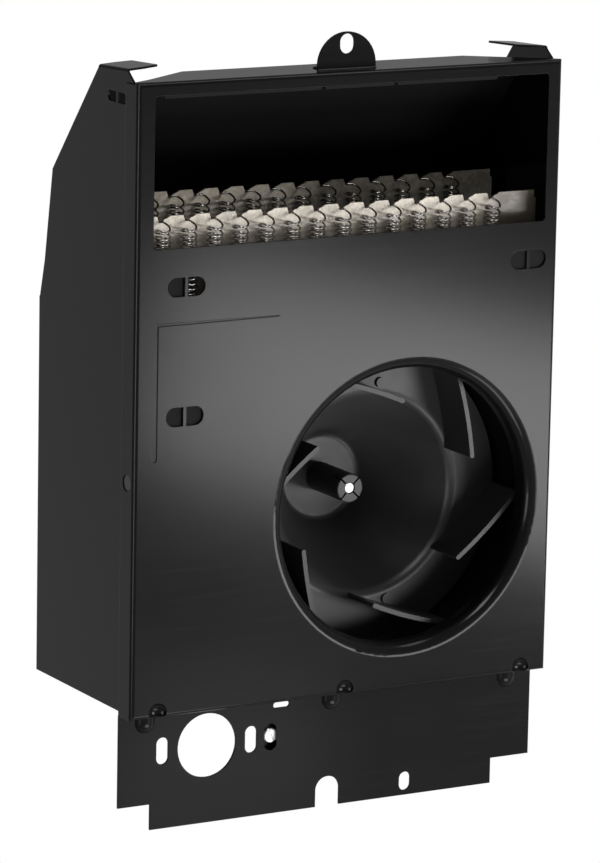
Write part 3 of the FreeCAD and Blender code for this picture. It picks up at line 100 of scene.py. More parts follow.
class Signal:
    """A node's output that takes part in sums written as Python expressions."""

    def __init__(self, desk: "Desk", socket: bpy.types.NodeSocket) -> None:
        """Keep the socket and the desk that it belongs to."""
        self.desk = desk
        self.socket = socket

    def _sum(self, operation: str, first: Any, second: Any) -> "Signal":
        """Add a Math node for two signals or numbers."""
        return self.desk.node("ShaderNodeMath", {"operation": operation}, {0: first, 1: second})

    def __add__(self, other: Any) -> "Signal":
        """Signal plus other."""
        return self._sum("ADD", self, other)

    def __radd__(self, other: Any) -> "Signal":
        """Other plus signal."""
        return self._sum("ADD", other, self)

    def __sub__(self, other: Any) -> "Signal":
        """Signal minus other."""
        return self._sum("SUBTRACT", self, other)

    def __rsub__(self, other: Any) -> "Signal":
        """Other minus signal."""
        return self._sum("SUBTRACT", other, self)

    def __mul__(self, other: Any) -> "Signal":
        """Signal times other."""
        return self._sum("MULTIPLY", self, other)

    def __rmul__(self, other: Any) -> "Signal":
        """Other times signal."""
        return self._sum("MULTIPLY", other, self)

    def __lt__(self, other: Any) -> "Signal":
        """1 where signal is less than other, else 0."""
        return self._sum("LESS_THAN", self, other)

    def __gt__(self, other: Any) -> "Signal":
        """1 where signal is greater than other, else 0."""
        return self._sum("GREATER_THAN", self, other)

    def at_least(self, other: Any) -> "Signal":
        """The larger of the two."""
        return self._sum("MAXIMUM", self, other)

    def swing(self) -> "Signal":
        """Noise from 0 to 1, moved so that it swings about 0."""
        return self - 0.5


class Desk:
    """The node tree of one material or of the world, with one way to add a node."""

    def __init__(self, tree: bpy.types.NodeTree) -> None:
        """Clear the tree and keep it."""
        tree.nodes.clear()
        self.tree = tree

    def node(self, kind: str, settings: dict[str, Any] | None = None,
             sockets: dict[Any, Any] | None = None, out: int | str = 0) -> Signal:
        """Add one node.

        Args:
            kind: the node's type.
            settings: its properties, and under "stops" a ramp's two places and greys; set first.
            sockets: values or signals for its inputs, by name or number.
            out: which output is handed back, by name or number.

        Returns:
            The signal of that output.
        """
        made = self.tree.nodes.new(kind)
        for name, value in (settings or {}).items():
            if name == "stops":
                for stop, (place, grey) in zip(made.color_ramp.elements, value):
                    stop.position, stop.color = place, (grey, grey, grey, 1.0)
            else:
                setattr(made, name, value)
        for key, value in (sockets or {}).items():
            if isinstance(value, Signal):
                self.tree.links.new(value.socket, made.inputs[key])
            else:
                made.inputs[key].default_value = value
        return Signal(self, made.outputs[out] if made.outputs else None)

    def place(self, stretch: Triple = (1.0, 1.0, 1.0)) -> Signal:
        """Object coordinates in metres, stretched along the axes."""
        spot = self.node("ShaderNodeTexCoord", out="Object")
        return self.node("ShaderNodeMapping", {}, {"Vector": spot, "Scale": stretch})

    def along(self, spot: Signal, axis: Axis) -> Signal:
        """One coordinate of a place, in metres."""
        return self.node("ShaderNodeSeparateXYZ", {}, {"Vector": spot}, out=int(axis))

    def noise(self, spot: Signal, scale: float, detail: float, rough: float = 0.55) -> Signal:
        """Cloudy noise from 0 to 1."""
        return self.node("ShaderNodeTexNoise", {}, {"Vector": spot, "Scale": scale, "Detail": detail,
                                                    "Roughness": rough})

    def cells(self, spot: Signal, scale: float) -> Signal:
        """Patchwork of cells, each with a grey of its own."""
        cell = self.node("ShaderNodeTexVoronoi", {}, {"Vector": spot, "Scale": scale}, out="Color")
        return self.node("ShaderNodeRGBToBW", {}, {"Color": cell})

    def ramp(self, value: Signal, stops: Stops) -> Signal:
        """Value carried through a ramp of greys."""
        return self.node("ShaderNodeValToRGB", {"stops": stops}, {"Fac": value})

    def mix(self, share: Any, first: Any, second: Any) -> Signal:
        """Colour from first to second."""
        pair = [value if isinstance(value, Signal) else (*value, 1.0) for value in (first, second)]
        return self.node("ShaderNodeMix", {"data_type": "RGBA"},
                         {MIX_SHARE: share, MIX_FIRST: pair[0], MIX_SECOND: pair[1]}, out=MIX_RESULT)

    def eased(self, radius: float) -> Signal:
        """Normal of a surface whose sharp edges are eased to a radius in millimetres."""
        return self.node("ShaderNodeBevel", {"samples": 4}, {"Radius": radius * MM})

    def bump(self, height: Signal, deep: float, below: Signal | None = None) -> Signal:
        """Normal of a relief that is deep millimetres high, on top of another normal if there is one."""
        sockets = {"Height": height, "Distance": deep * MM, "Strength": 1.0}
        return self.node("ShaderNodeBump", {}, sockets if below is None else {**sockets, "Normal": below})

    def surface(self, sockets: dict[str, Any]) -> None:
        """Close the tree with one Principled shader."""
        shader = self.node("ShaderNodeBsdfPrincipled", {}, sockets)
        self.node("ShaderNodeOutputMaterial", {}, {"Surface": shader})


@dataclass(frozen=True)
class SprayPaint:
    """Sprayed and baked black paint on sheet: rolling streaks, orange peel, clouds and a little dust.

    A coat of gloss can lie on what stands in front of lip_y and above lip_z, both in millimetres.
    """

    colour: Colour
    dust_colour: Colour
    roughness: float
    peel: float
    dust: float
    specular: float
    streak: float = 0.0
    edge: float = 0.35
    lip_coat: float = 0.0
    lip_y: float = -4.0
    lip_z: float = -25.0
    lip_roughness: float = 0.16
    cloud_scale: float = 14.0
    cloud_dust: float = 0.6
    cloud_rough: float = 0.05
    peel_scale: float = 1100.0
    peel_rough: float = 0.03
    speck_scale: float = 420.0
    speck_stops: Stops = ((0.62, 0.0), (0.75, 1.0))
    speck_dust: float = 0.5
    speck_rough: float = 0.04
    streak_scale: float = 620.0
    streak_stretch: Triple = (0.03, 1.0, 1.0)
    streak_stops: Stops = ((0.50, 0.0), (0.72, 1.0))
    streak_rough: float = 0.10
    streak_relief: float = 0.5

    def shade(self, desk: Desk) -> None:
        """Fill a material's tree.

        Args:
            desk: the tree.
        """
        spot = desk.place()
        cloud = desk.noise(spot, self.cloud_scale, detail=4.0)
        peel = desk.noise(spot, self.peel_scale, detail=2.0)
        speck = desk.ramp(desk.noise(spot, self.speck_scale, detail=5.0, rough=0.7), self.speck_stops)
        rolled = desk.noise(desk.place(self.streak_stretch), self.streak_scale, detail=4.0, rough=0.65)
        streak = desk.ramp(rolled, self.streak_stops) * self.streak
        dusty = (cloud * self.cloud_dust + speck * self.speck_dust) * self.dust + streak
        rough = (self.roughness + cloud.swing() * self.cloud_rough + peel.swing() * self.peel_rough
                 + speck * self.speck_rough + streak * self.streak_rough)
        relief = desk.bump(peel + streak * self.streak_relief, self.peel, desk.eased(self.edge))
        sockets = {"Base Color": desk.mix(dusty, self.colour, self.dust_colour), "Roughness": rough,
                   "Specular IOR Level": self.specular, "Normal": relief}
        if self.lip_coat:
            ahead = desk.along(spot, Axis.Y) < self.lip_y * MM
            above = desk.along(spot, Axis.Z) > self.lip_z * MM
            sockets["Coat Weight"] = ahead * above * self.lip_coat
            sockets["Coat Roughness"] = self.lip_roughness
        desk.surface(sockets)


@dataclass(frozen=True)
class Moulding:
    """Moulded plastic: fine spark grain, flow clouds and faint rubbing."""

    colour: Colour
    worn_colour: Colour
    roughness: float
    grain: float
    wear: float
    specular: float = 0.5
    flow_scale: float = 30.0
    flow_wear: float = 0.5
    flow_rough: float = 0.14
    grain_scale: float = 2400.0
    rub_scale: float = 160.0
    rub_stops: Stops = ((0.5, 0.0), (0.8, 1.0))
    rub_wear: float = 0.6
    rub_rough: float = 0.06

    def shade(self, desk: Desk) -> None:
        """Fill a material's tree.

        Args:
            desk: the tree.
        """
        spot = desk.place()
        flow = desk.noise(spot, self.flow_scale, detail=3.0)
        grain = desk.noise(spot, self.grain_scale, detail=2.0)
        rubbed = desk.ramp(desk.noise(spot, self.rub_scale, detail=6.0, rough=0.65), self.rub_stops)
        worn = (flow * self.flow_wear + rubbed * self.rub_wear) * self.wear
        base = desk.mix(worn, self.colour, self.worn_colour)
        rough = self.roughness + flow.swing() * self.flow_rough + rubbed * self.rub_rough
        desk.surface({"Base Color": base, "Roughness": rough, "Specular IOR Level": self.specular,
                      "Normal": desk.bump(grain, self.grain)})


@dataclass(frozen=True)
class BareMetal:
    """Bare metal with grain drawn along one axis, light scratches and tarnish."""

    colour: Colour
    tarnish_colour: Colour
    roughness: float
    grain: float
    tarnish: float
    stretch: Triple = (1.0, 1.0, 0.12)
    grain_scale: float = 1600.0
    grain_rough: float = 0.18
    stain_scale: float = 120.0
    stain_stops: Stops = ((0.38, 0.0), (0.72, 1.0))
    stain_rough: float = 0.12

    def shade(self, desk: Desk) -> None:
        """Fill a material's tree.

        Args:
            desk: the tree.
        """
        grain = desk.noise(desk.place(self.stretch), self.grain_scale, detail=3.0, rough=0.6)
        cloud = desk.noise(desk.place(), self.stain_scale, detail=5.0, rough=0.6)
        stain = desk.ramp(cloud, self.stain_stops)
        base = desk.mix(stain * self.tarnish, self.colour, self.tarnish_colour)
        rough = self.roughness + grain.swing() * self.grain_rough + stain * self.stain_rough
        desk.surface({"Base Color": base, "Metallic": 1.0, "Roughness": rough,
                      "Normal": desk.bump(grain, self.grain)})


@dataclass(frozen=True)
class Galvanised:
    """Zinc-dipped sheet with its crystal spangle."""

    colour: Colour
    dark_colour: Colour
    roughness: float
    spangle_scale: float
    spangle: float = 0.02
    spangle_share: float = 0.6
    spangle_rough: float = 0.2
    bloom_scale: float = 60.0
    bloom_rough: float = 0.15

    def shade(self, desk: Desk) -> None:
        """Fill a material's tree.

        Args:
            desk: the tree.
        """
        spot = desk.place()
        grey = desk.cells(spot, self.spangle_scale)
        bloom = desk.noise(spot, self.bloom_scale, detail=5.0, rough=0.6)
        pale = grey * self.spangle_share + bloom * (1.0 - self.spangle_share)
        base = desk.mix(pale, self.dark_colour, self.colour)
        rough = self.roughness + grey.swing() * self.spangle_rough + bloom.swing() * self.bloom_rough
        desk.surface({"Base Color": base, "Metallic": 1.0, "Roughness": rough,
                      "Normal": desk.bump(grey, self.spangle)})


@dataclass(frozen=True)
class MicaSheet:
    """Pressed mica: pale flakes that overlap, a pearly face and darker flecks.

    What stands in front of the shade's depth is darkened towards the right, between two places along x, all
    in
    millimetres: this is painted shade, for the shadow that the window's right edge casts on the front card's
    end.
    """

    colour: Colour
    flake_colour: Colour
    # Colour of the darker flecks, and also of the painted shade at the front card's right end.
    fleck_and_shade_colour: Colour
    roughness: float
    relief: float = 0.12
    pearl: float = 0.3
    flake_scale: float = 230.0
    flake_stretch: Triple = (1.0, 1.0, 1.6)
    flake_share: float = 0.4
    flake_relief: float = 0.5
    flake_rough: float = 0.25
    cloud_scale: float = 260.0
    cloud_stops: Stops = ((0.34, 0.0), (0.66, 1.0))
    fleck_scale: float = 700.0
    fleck_stops: Stops = ((0.54, 0.0), (0.70, 1.0))
    flecked: float = 0.55
    # Painted shade: how far, and over what stretch, the front card's right end is darkened.
    painted_shade: float = 0.95
    painted_shade_from: float = 66.0
    painted_shade_to: float = 76.0
    painted_shade_y: float = 20.0

    def shade(self, desk: Desk) -> None:
        """Fill a material's tree.

        Args:
            desk: the tree.
        """
        spot = desk.place()
        tone = desk.cells(desk.place(self.flake_stretch), self.flake_scale)
        cloud = desk.ramp(desk.noise(spot, self.cloud_scale, detail=5.0, rough=0.65), self.cloud_stops)
        fleck = desk.ramp(desk.noise(spot, self.fleck_scale, detail=4.0, rough=0.7), self.fleck_stops)
        paleness = tone * self.flake_share + cloud * (1.0 - self.flake_share)
        pale = desk.mix(paleness, self.flake_colour, self.colour)
        rightward = desk.node("ShaderNodeMapRange", {}, {"Value": desk.along(spot, Axis.X),
                                                         "From Min": self.painted_shade_from * MM,
                                                         "From Max": self.painted_shade_to * MM})
        # Painted shade: the front card darkens towards the fleck colour at its right end, for the window
        # edge's shadow.
        painted_shade_share = rightward * (desk.along(spot, Axis.Y) < self.painted_shade_y * MM) * self.painted_shade
        base = desk.mix((fleck * self.flecked).at_least(painted_shade_share), pale, self.fleck_and_shade_colour)
        height = tone * self.flake_relief + cloud * (1.0 - self.flake_relief)
        desk.surface({"Base Color": base, "Roughness": self.roughness + tone.swing() * self.flake_rough,
                      "Normal": desk.bump(height, self.relief),
                      "Coat Weight": self.pearl + tone.swing() * self.pearl})


@dataclass(frozen=True)
class Laminations:
    """Pile of punched steel sheets: fine lines across the pile and oily stains."""

    colour: Colour
    oil_colour: Colour
    roughness: float
    sheet: float
    groove: float = 0.12
    metallic: float = 0.85
    stain_scale: float = 90.0
    stain_rough: float = 0.3
    waviness: float = 0.4

    def shade(self, desk: Desk) -> None:
        """Fill a material's tree.

        A wave texture of scale s has a line every pi / (10 s), so the scale is pi / (10 sheet).

        Args:
            desk: the tree.
        """
        spot = desk.place()
        line = desk.node("ShaderNodeTexWave",
                         {"wave_type": "BANDS", "bands_direction": "Y", "wave_profile": "SIN"},
                         {"Vector": spot, "Scale": np.pi / (10.0 * self.sheet * MM),
                          "Distortion": self.waviness}, out="Fac")
        stain = desk.noise(spot, self.stain_scale, detail=5.0, rough=0.6)
        base = desk.mix(stain, self.colour, self.oil_colour)
        rough = self.roughness + stain.swing() * self.stain_rough
        desk.surface({"Base Color": base, "Metallic": self.metallic, "Roughness": rough,
                      "Normal": desk.bump(line, self.groove)})


Finish = SprayPaint | Moulding | BareMetal | Galvanised | MicaSheet | Laminations
EVEN_GRAIN: Triple = (1.0, 1.0, 1.0)

FINISHES: dict[str, Finish] = {
    "casing_paint": SprayPaint((0.0032, 0.0032, 0.0034), (0.014, 0.014, 0.015), 0.16, peel=0.004, dust=0.25,
                               specular=0.07, streak=0.12),
    "deflector_paint": SprayPaint((0.004, 0.004, 0.004), (0.010, 0.010, 0.010), 0.50, peel=0.006, dust=0.4,
                                  specular=0.04, lip_coat=0.14),
    "galvanised": Galvanised((0.62, 0.63, 0.64), (0.40, 0.41, 0.43), 0.42, spangle_scale=130.0),
    "wheel_plastic": Moulding((0.022, 0.022, 0.023), (0.04, 0.04, 0.04), 0.36, grain=0.005, wear=0.35,
                              specular=0.15),
    "mica": MicaSheet((0.58, 0.53, 0.45), (0.22, 0.19, 0.15), (0.10, 0.08, 0.055), 0.42),
    # front_wire and rear_wire are one wire: the rear copy's darker colours are painted shade, for the row
    # deeper in the box.
    "front_wire": BareMetal((0.20, 0.19, 0.18), (0.045, 0.04, 0.036), 0.22, grain=0.01, tarnish=0.8),
    "rear_wire": BareMetal((0.16, 0.15, 0.14), (0.036, 0.033, 0.03), 0.22, grain=0.01, tarnish=0.8),
    "bright_steel": BareMetal((0.74, 0.74, 0.74), (0.50, 0.49, 0.47), 0.60, grain=0.004, tarnish=0.4),
    "screw_steel": BareMetal((0.62, 0.63, 0.64), (0.36, 0.35, 0.33), 0.32, grain=0.006, tarnish=0.5),
    "rivet_steel": SprayPaint((0.008, 0.008, 0.0085), (0.04, 0.04, 0.04), 0.30, peel=0.01, dust=0.5,
                              specular=0.2),
    "lamination": Laminations((0.20, 0.20, 0.21), (0.08, 0.075, 0.07), 0.45, sheet=0.6),
    "die_cast": BareMetal((0.66, 0.66, 0.67), (0.42, 0.42, 0.43), 0.42, grain=0.02, tarnish=0.5,
                          stretch=EVEN_GRAIN, grain_scale=900.0),
    "bronze": BareMetal((0.50, 0.34, 0.17), (0.24, 0.16, 0.09), 0.42, grain=0.02, tarnish=0.6,
                        stretch=EVEN_GRAIN, grain_scale=1500.0),
    "copper": BareMetal((0.60, 0.26, 0.12), (0.34, 0.13, 0.06), 0.28, grain=0.004, tarnish=0.5),
    "bobbin_plastic": Moulding((0.66, 0.62, 0.52), (0.48, 0.43, 0.34), 0.45, grain=0.006, wear=0.6),
    "terminal_metal": BareMetal((0.68, 0.63, 0.50), (0.42, 0.36, 0.25), 0.30, grain=0.005, tarnish=0.5),
    "switch_plastic": Moulding((0.045, 0.028, 0.022), (0.10, 0.07, 0.06), 0.28, grain=0.006, wear=0.5),
}


class Wardrobe:
    """Makes each finish's material once and dresses objects in it."""

    def __init__(self) -> None:
        """Start with no material made."""
        self.made: dict[str, bpy.types.Material] = {}

    def material(self, slot: str) -> bpy.types.Material:
        """Make the material of a slot, or find it if it is made.

        Args:
            slot: one of the record's slots.

        Returns:
            The slot's material.
        """
        if slot not in self.made:
            material = bpy.data.materials.new(slot)
            material.use_nodes = True
            FINISHES[slot].shade(Desk(material.node_tree))
            self.made[slot] = material
        return self.made[slot]

    def dress(self, piece: bpy.types.Object, slot: str) -> None:
        """Give a piece the finish of a slot, all over."""
        piece.data.materials.clear()
        piece.data.materials.append(self.material(slot))

    def dress_nodes(self) -> None:
        """Give every CAD node the finish that the record names for it."""
        for part in frame["record"]["subparts"]:
            self.dress(frame["nodes"][part["node"]], part["material_slot"])
            LOG.info("dressed %s in %s", part["node"], part["material_slot"])

    def dress_winding(self, piece: bpy.types.Object, slot: str, node: str) -> None:
        """Dress a wound piece of the casing and let it stand for its node.

        Args:
            piece: the new piece.
            slot: its finish.
            node: the CAD node that it takes the place of.
        """
        self.dress(piece, slot)
        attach(piece, Body.CASING.value)
        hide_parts(node)


def mesh_piece(name: str, grid: np.ndarray, around: bool, along: bool,
               capped: bool = False) -> bpy.types.Object:
    """Make an object from a grid of points.

    Args:
        name: the piece's name.
        grid: points in metres, indexed by the step along the path, then by the step round the profile.
        around: whether the profile closes on itself.
        along: whether the path closes on itself.
        capped: whether each end of the path gets a flat face.

    Returns:
        The new object, linked to the scene, with smooth faces.
    """
    rows, columns = grid.shape[:2]
    index = np.arange(rows * columns).reshape(rows, columns)
    down = np.concatenate([index, index[:1]]) if along else index
    wide = np.concatenate([down, down[:, :1]], axis=1) if around else down
    quads = np.stack([wide[:-1, :-1], wide[:-1, 1:], wide[1:, 1:], wide[1:, :-1]], axis=-1).reshape(-1, 4)
    faces = quads.tolist()
    if capped:
        faces += [index[0, ::-1].tolist(), index[-1].tolist()]
    mesh = bpy.data.meshes.new(name)
    mesh.from_pydata(grid.reshape(-1, 3).tolist(), [], faces)
    mesh.validate()
    mesh.polygons.foreach_set("use_smooth", np.ones(len(mesh.polygons), bool))
    mesh.update()
    piece = bpy.data.objects.new(name, mesh)
    bpy.context.scene.collection.objects.link(piece)
    return piece


def tube_grid(path: np.ndarray, radius: float, sides: int, lean: Triple) -> np.ndarray:
    """Carry a circle along a path.

    At each point the circle lies square to the path's direction t. Its first axis is the part of a fixed
    leaning direction that is square to t, and its second axis is t crossed with the first.

    Args:
        path: points in metres, one row each.
        radius: the circle's radius in metres.
        sides: points round the circle.
        lean: a direction that the path never takes.

    Returns:
        Grid of points, indexed by path point and by step round the circle.
    """
    way = np.gradient(path, axis=0)
    way /= np.linalg.norm(way, axis=1, keepdims=True)
    fixed = np.array(lean) / np.linalg.norm(lean)
    first = fixed - (way @ fixed)[:, None] * way
    first /= np.linalg.norm(first, axis=1, keepdims=True)
    second = np.cross(way, first)
    turn = np.linspace(0.0, 2 * np.pi, sides, endpoint=False)
    circle = np.cos(turn)[None, :, None] * first[:, None] + np.sin(turn)[None, :, None] * second[:, None]
    return path[:, None] + radius * circle


def bridge(start: np.ndarray, start_way: np.ndarray, end: np.ndarray, end_way: np.ndarray,
           count: int) -> np.ndarray:
    """Cubic curve between two points that leaves and arrives along the given ways.

    With t from 0 to 1 the point is (2t3 - 3t2 + 1) start + (t3 - 2t2 + t) start way
    + (3t2 - 2t3) end + (t3 - t2) end way.

    Args:
        start: first point.
        start_way: way it leaves, as long as its pull.
        end: last point.
        end_way: way it arrives, as long as its pull.
        count: points made, without the last.

    Returns:
        The points, one row each.
    """
    t = np.linspace(0.0, 1.0, count, endpoint=False)[:, None]
    return ((2 * t**3 - 3 * t**2 + 1) * start + (t**3 - 2 * t**2 + t) * start_way
            + (3 * t**2 - 2 * t**3) * end + (t**3 - t**2) * end_way)


@dataclass
class ElementRow:
    """One card's wound wire, in millimetres of the panel's frame.

    It hangs from the card's notches in close coils and climbs the card's back. Names that end in steps count
    the points of a stretch, entry_pull counts steps of the helix, and sway, swing and bob are how far a coil
    may hang off its place along x, y and z.
    """

    name: str
    node: str
    slot: str
    card_y: float
    lift: float
    first_x: float
    coil_shift: float
    seed: int
    card_t: float = 0.9
    card_left: float = -94.0
    card_right: float = 93.1
    pitch: float = 11.83
    runs: int = 14
    wire_r: float = 0.42
    coil_r: float = 3.05
    turns: int = 14
    first_turn: float = 0.12
    coil_pitch: float = 2.05
    crest_z: float = -57.3
    foot_z: float = -95.8
    coil_drop: float = 2.6
    drop_rate: float = 2.0
    sag: float = 0.25
    back_gap: float = 3.2
    card_gap: float = 0.35
    bend: float = 3.0
    bend_pull: float = 4.8
    climb_pull: float = 6.0
    lead_pull: float = 14.0
    lead_off: float = 1.0
    entry_pull: float = 4.0
    terminal_inset: float = 8.4
    terminal_t: float = 0.8
    lead_z: float = -85.0
    hang_length: float = 30.0
    sway: float = 0.9
    swing: float = 0.35
    bob: float = 0.5
    turn_steps: int = 20
    crest_steps: int = 8
    entry_steps: int = 5
    under_steps: int = 12
    foot_steps: int = 8
    climb_steps: int = 14
    lead_steps: int = 12
    sides: int = 8
    lean: Triple = (1.0, 1.0, 2.0)

    def helix(self) -> np.ndarray:
        """The wound stretch of one run, about a notch at x 0.

        With u counted in turns from the notch and a = 2 pi (1/4 - u), the helix is x = shift + r cos a,
        y = r sin a, and it falls by pitch u + drop (1 - exp(-rate u)) - sag y, so that its first loop hangs
        open and every loop sags in front.

        Returns:
            Points in millimetres, one row each.
        """
        quarter = 0.25
        axis_y = self.card_y - self.card_gap - self.wire_r - self.coil_r
        turn = np.linspace(self.first_turn, self.turns + quarter, self.turns * self.turn_steps)
        angle = 2 * np.pi * (quarter - turn)
        fall = self.coil_pitch * turn + self.coil_drop * (1.0 - np.exp(-self.drop_rate * turn))
        across, deep = self.coil_r * np.cos(angle), self.coil_r * np.sin(angle)
        height = self.crest_z - fall + self.sag * deep
        return np.stack([self.coil_shift + across, axis_y + deep, height], axis=1)

    def one_run(self) -> np.ndarray:
        """One run of the wire, about a notch at x 0.

        It comes up the back, bends over the notch, winds down in front of the card as a helix, turns under
        the card's foot and climbs the back to the next notch.

        Returns:
            Points in millimetres, one row each.
        """
        back_y = self.card_y + self.card_t + self.back_gap
        mid_y = self.card_y + self.card_t / 2
        helix = self.helix()
        onward = (helix[1] - helix[0]) * self.entry_pull
        crest = np.array([0, mid_y, self.crest_z])
        rise = np.array([0, back_y, self.crest_z - self.bend])
        foot = np.array([self.coil_r, mid_y, self.foot_z])
        climb = np.array([self.coil_r, back_y, self.foot_z + self.bend])
        next_rise = rise + np.array([self.pitch, 0, 0])
        pull = self.bend_pull
        return np.concatenate([
            bridge(rise, UP * pull, crest, AHEAD * pull / 2, self.crest_steps),
            bridge(crest, AHEAD * pull / 2, helix[0], onward, self.entry_steps),
            helix[:-1],
            bridge(helix[-1], AHEAD * pull, foot, ABACK * pull, self.under_steps),
            bridge(foot, ABACK * pull, climb, UP * pull, self.foot_steps),
            bridge(climb, UP * self.climb_pull, next_rise, UP * self.climb_pull, self.climb_steps)])

    def path(self) -> np.ndarray:
        """The whole wire: all runs side by side, a little unevenly wound, with a lead to each terminal.

        A coil hangs off its place by a share h, which grows from 0 at the crest to 1 at hang_length below.
        It bobs by 4 h (1 - h), which is most halfway down.

        Returns:
            Points in millimetres, one row each.
        """
        draw = np.random.default_rng(self.seed)
        run = self.one_run()
        shifts = self.first_x + self.pitch * np.arange(self.runs)
        wires = run[None] + np.stack([shifts, 0 * shifts, 0 * shifts], axis=1)[:, None]
        hang = np.clip((self.crest_z - run[:, 2]) / self.hang_length, 0.0, 1.0) * (run[:, 1] < self.card_y)
        wires[..., 0] += draw.uniform(-self.sway, self.sway, self.runs)[:, None] * hang
        wires[..., 1] -= draw.uniform(0.0, self.swing, self.runs)[:, None] * hang
        halfway = 4.0 * hang * (1.0 - hang)
        wires[..., 2] += draw.uniform(-self.bob, self.bob, self.runs)[:, None] * halfway
        points = wires.reshape(-1, 3)[:-self.climb_steps]
        tab_y = self.card_y + self.card_t + self.terminal_t
        left = np.array([self.card_left + self.terminal_inset, tab_y, self.lead_z])
        right = np.array([self.card_right - self.terminal_inset, tab_y, self.lead_z])
        off_left, off_right = left + ABACK * self.lead_off, right + ABACK * self.lead_off
        lead = bridge(off_left, ABACK * self.bend, points[0], UP * self.lead_pull, self.lead_steps)
        tail = bridge(points[-1], UP * self.bend, off_right, -ABACK * self.bend, self.lead_steps)
        wire = np.concatenate([left[None], lead, points, tail[1:], off_right[None], right[None]])
        return wire + UP * self.lift

    def build(self, wardrobe: Wardrobe) -> bpy.types.Object:
        """Make the wire, dress it and let it stand for its node.

        Args:
            wardrobe: what dresses it.

        Returns:
            The new piece.
        """
        grid = tube_grid(from_panel(self.path()), self.wire_r * MM, self.sides, self.lean)
        piece = mesh_piece(self.name, grid, around=True, along=False, capped=True)
        wardrobe.dress_winding(piece, self.slot, self.node)
        return piece


@dataclass
class FieldCoil:
    """The motor's winding, in millimetres: layers of enamelled wire round the stack's lower limb."""

    name: str = "wound_field_coil"
    node: str = "field_winding"
    slot: str = "copper"
    wire: float = 0.7
    deep: float = 4.0
    corner: float = 2.2
    corner_steps: int = 24
    ridge_steps: int = 8

    def build(self, wardrobe: Wardrobe) -> bpy.types.Object:
        """Make the winding, dress it and let it stand for its node.

        The profile lies in x and in height over the limb: its outer edge is a row of round wires that dips
        under the top by wire / 2 (1 - |sin(pi x / wire)|). It is carried round a rectangle in y and z that
        has round corners.

        Args:
            wardrobe: what dresses it.

        Returns:
            The new piece.
        """
        low, high = (np.array(corner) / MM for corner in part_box(self.node))
        turns = int((high[0] - low[0]) / self.wire)
        x = np.linspace(low[0], high[0], turns * self.ridge_steps + 1)
        wave = np.abs(np.sin(np.pi * (x - low[0]) / (high[0] - low[0]) * turns))
        profile_x = np.concatenate([x, [high[0], low[0]]])
        profile_h = np.concatenate([-0.5 * self.wire * (1.0 - wave), [-self.deep, -self.deep]])
        middle, half = (low + high) / 2, (high - low) / 2
        reach = self.corner + self.deep
        square = half[1:] - reach
        turn = np.linspace(0.0, 2 * np.pi, 4 * self.corner_steps, endpoint=False)
        way = np.stack([np.cos(turn), np.sin(turn)], axis=1)
        centre = middle[1:] + np.sign(way) * square
        ring = centre[:, None] + way[:, None] * (reach + profile_h)[None, :, None]
        across = np.broadcast_to(profile_x[None, :, None], (len(turn), len(profile_x), 1))
        grid = np.concatenate([across, ring], axis=2) * MM
        piece = mesh_piece(self.name, grid, around=True, along=True)
        wardrobe.dress_winding(piece, self.slot, self.node)
        return piece


@dataclass(frozen=True)
class Lamp:
    """Soft lamp with a rectangular face, in metres, watts and degrees.

    Gloss says whether shiny surfaces show the lamp, and diffuse whether it lights matt ones.
    """

    name: str
    place: Triple
    aim: Triple
    size: tuple[float, float]
    watts: float
    roll: float = 0.0
    gloss: bool = True
    diffuse: bool = True

    def build(self) -> bpy.types.Object:
        """Make the lamp, turned to its aim and rolled about its own axis.

        Returns:
            The lamp.
        """
        light = bpy.data.lights.new(self.name, "AREA")
        light.shape, light.energy = "RECTANGLE", self.watts
        light.size, light.size_y = self.size
        lamp = bpy.data.objects.new(self.name, light)
        lamp.location = self.place
        lamp.visible_camera, lamp.visible_glossy, lamp.visible_diffuse = False, self.gloss, self.diffuse
        lamp.rotation_mode = "QUATERNION"
        turn = (Vector(self.aim) - Vector(self.place)).to_track_quat("-Z", "Y")
        lamp.rotation_quaternion = turn @ Quaternion((0.0, 0.0, 1.0), np.radians(self.roll))
        bpy.context.scene.collection.objects.link(lamp)
        return lamp


MIDDLE: Triple = (0.0, 0.03, -0.15)
INLET: Triple = (0.03, 0.0, -0.2)
OUTLET: Triple = (0.0, 0.02, -0.06)

LAMPS: tuple[Lamp, ...] = (
    Lamp("strip_lamp", (0.44, -0.6, -0.31), MIDDLE, (0.38, 0.12), 4.0, roll=-11.0),
    Lamp("low_lamp", (0.275, -0.6, -0.47), MIDDLE, (0.12, 0.10), 0.12),
    Lamp("under_lamp", (0.06, -0.42, -0.56), INLET, (0.30, 0.14), 1.85),
    Lamp("collar_lamp", (-0.30, -0.60, 0.60), INLET, (0.34, 0.34), 8.0, diffuse=False),
    Lamp("key_lamp", (1.4, -0.50, 0.30), OUTLET, (0.4, 0.5), 42.0, gloss=False),
    Lamp("left_lamp", (-1.2, -0.7, -0.36), MIDDLE, (0.40, 0.45), 8.0, diffuse=False),
    Lamp("top_lamp", (0.55, -0.25, 0.95), MIDDLE, (0.35, 0.35), 3.0),
)


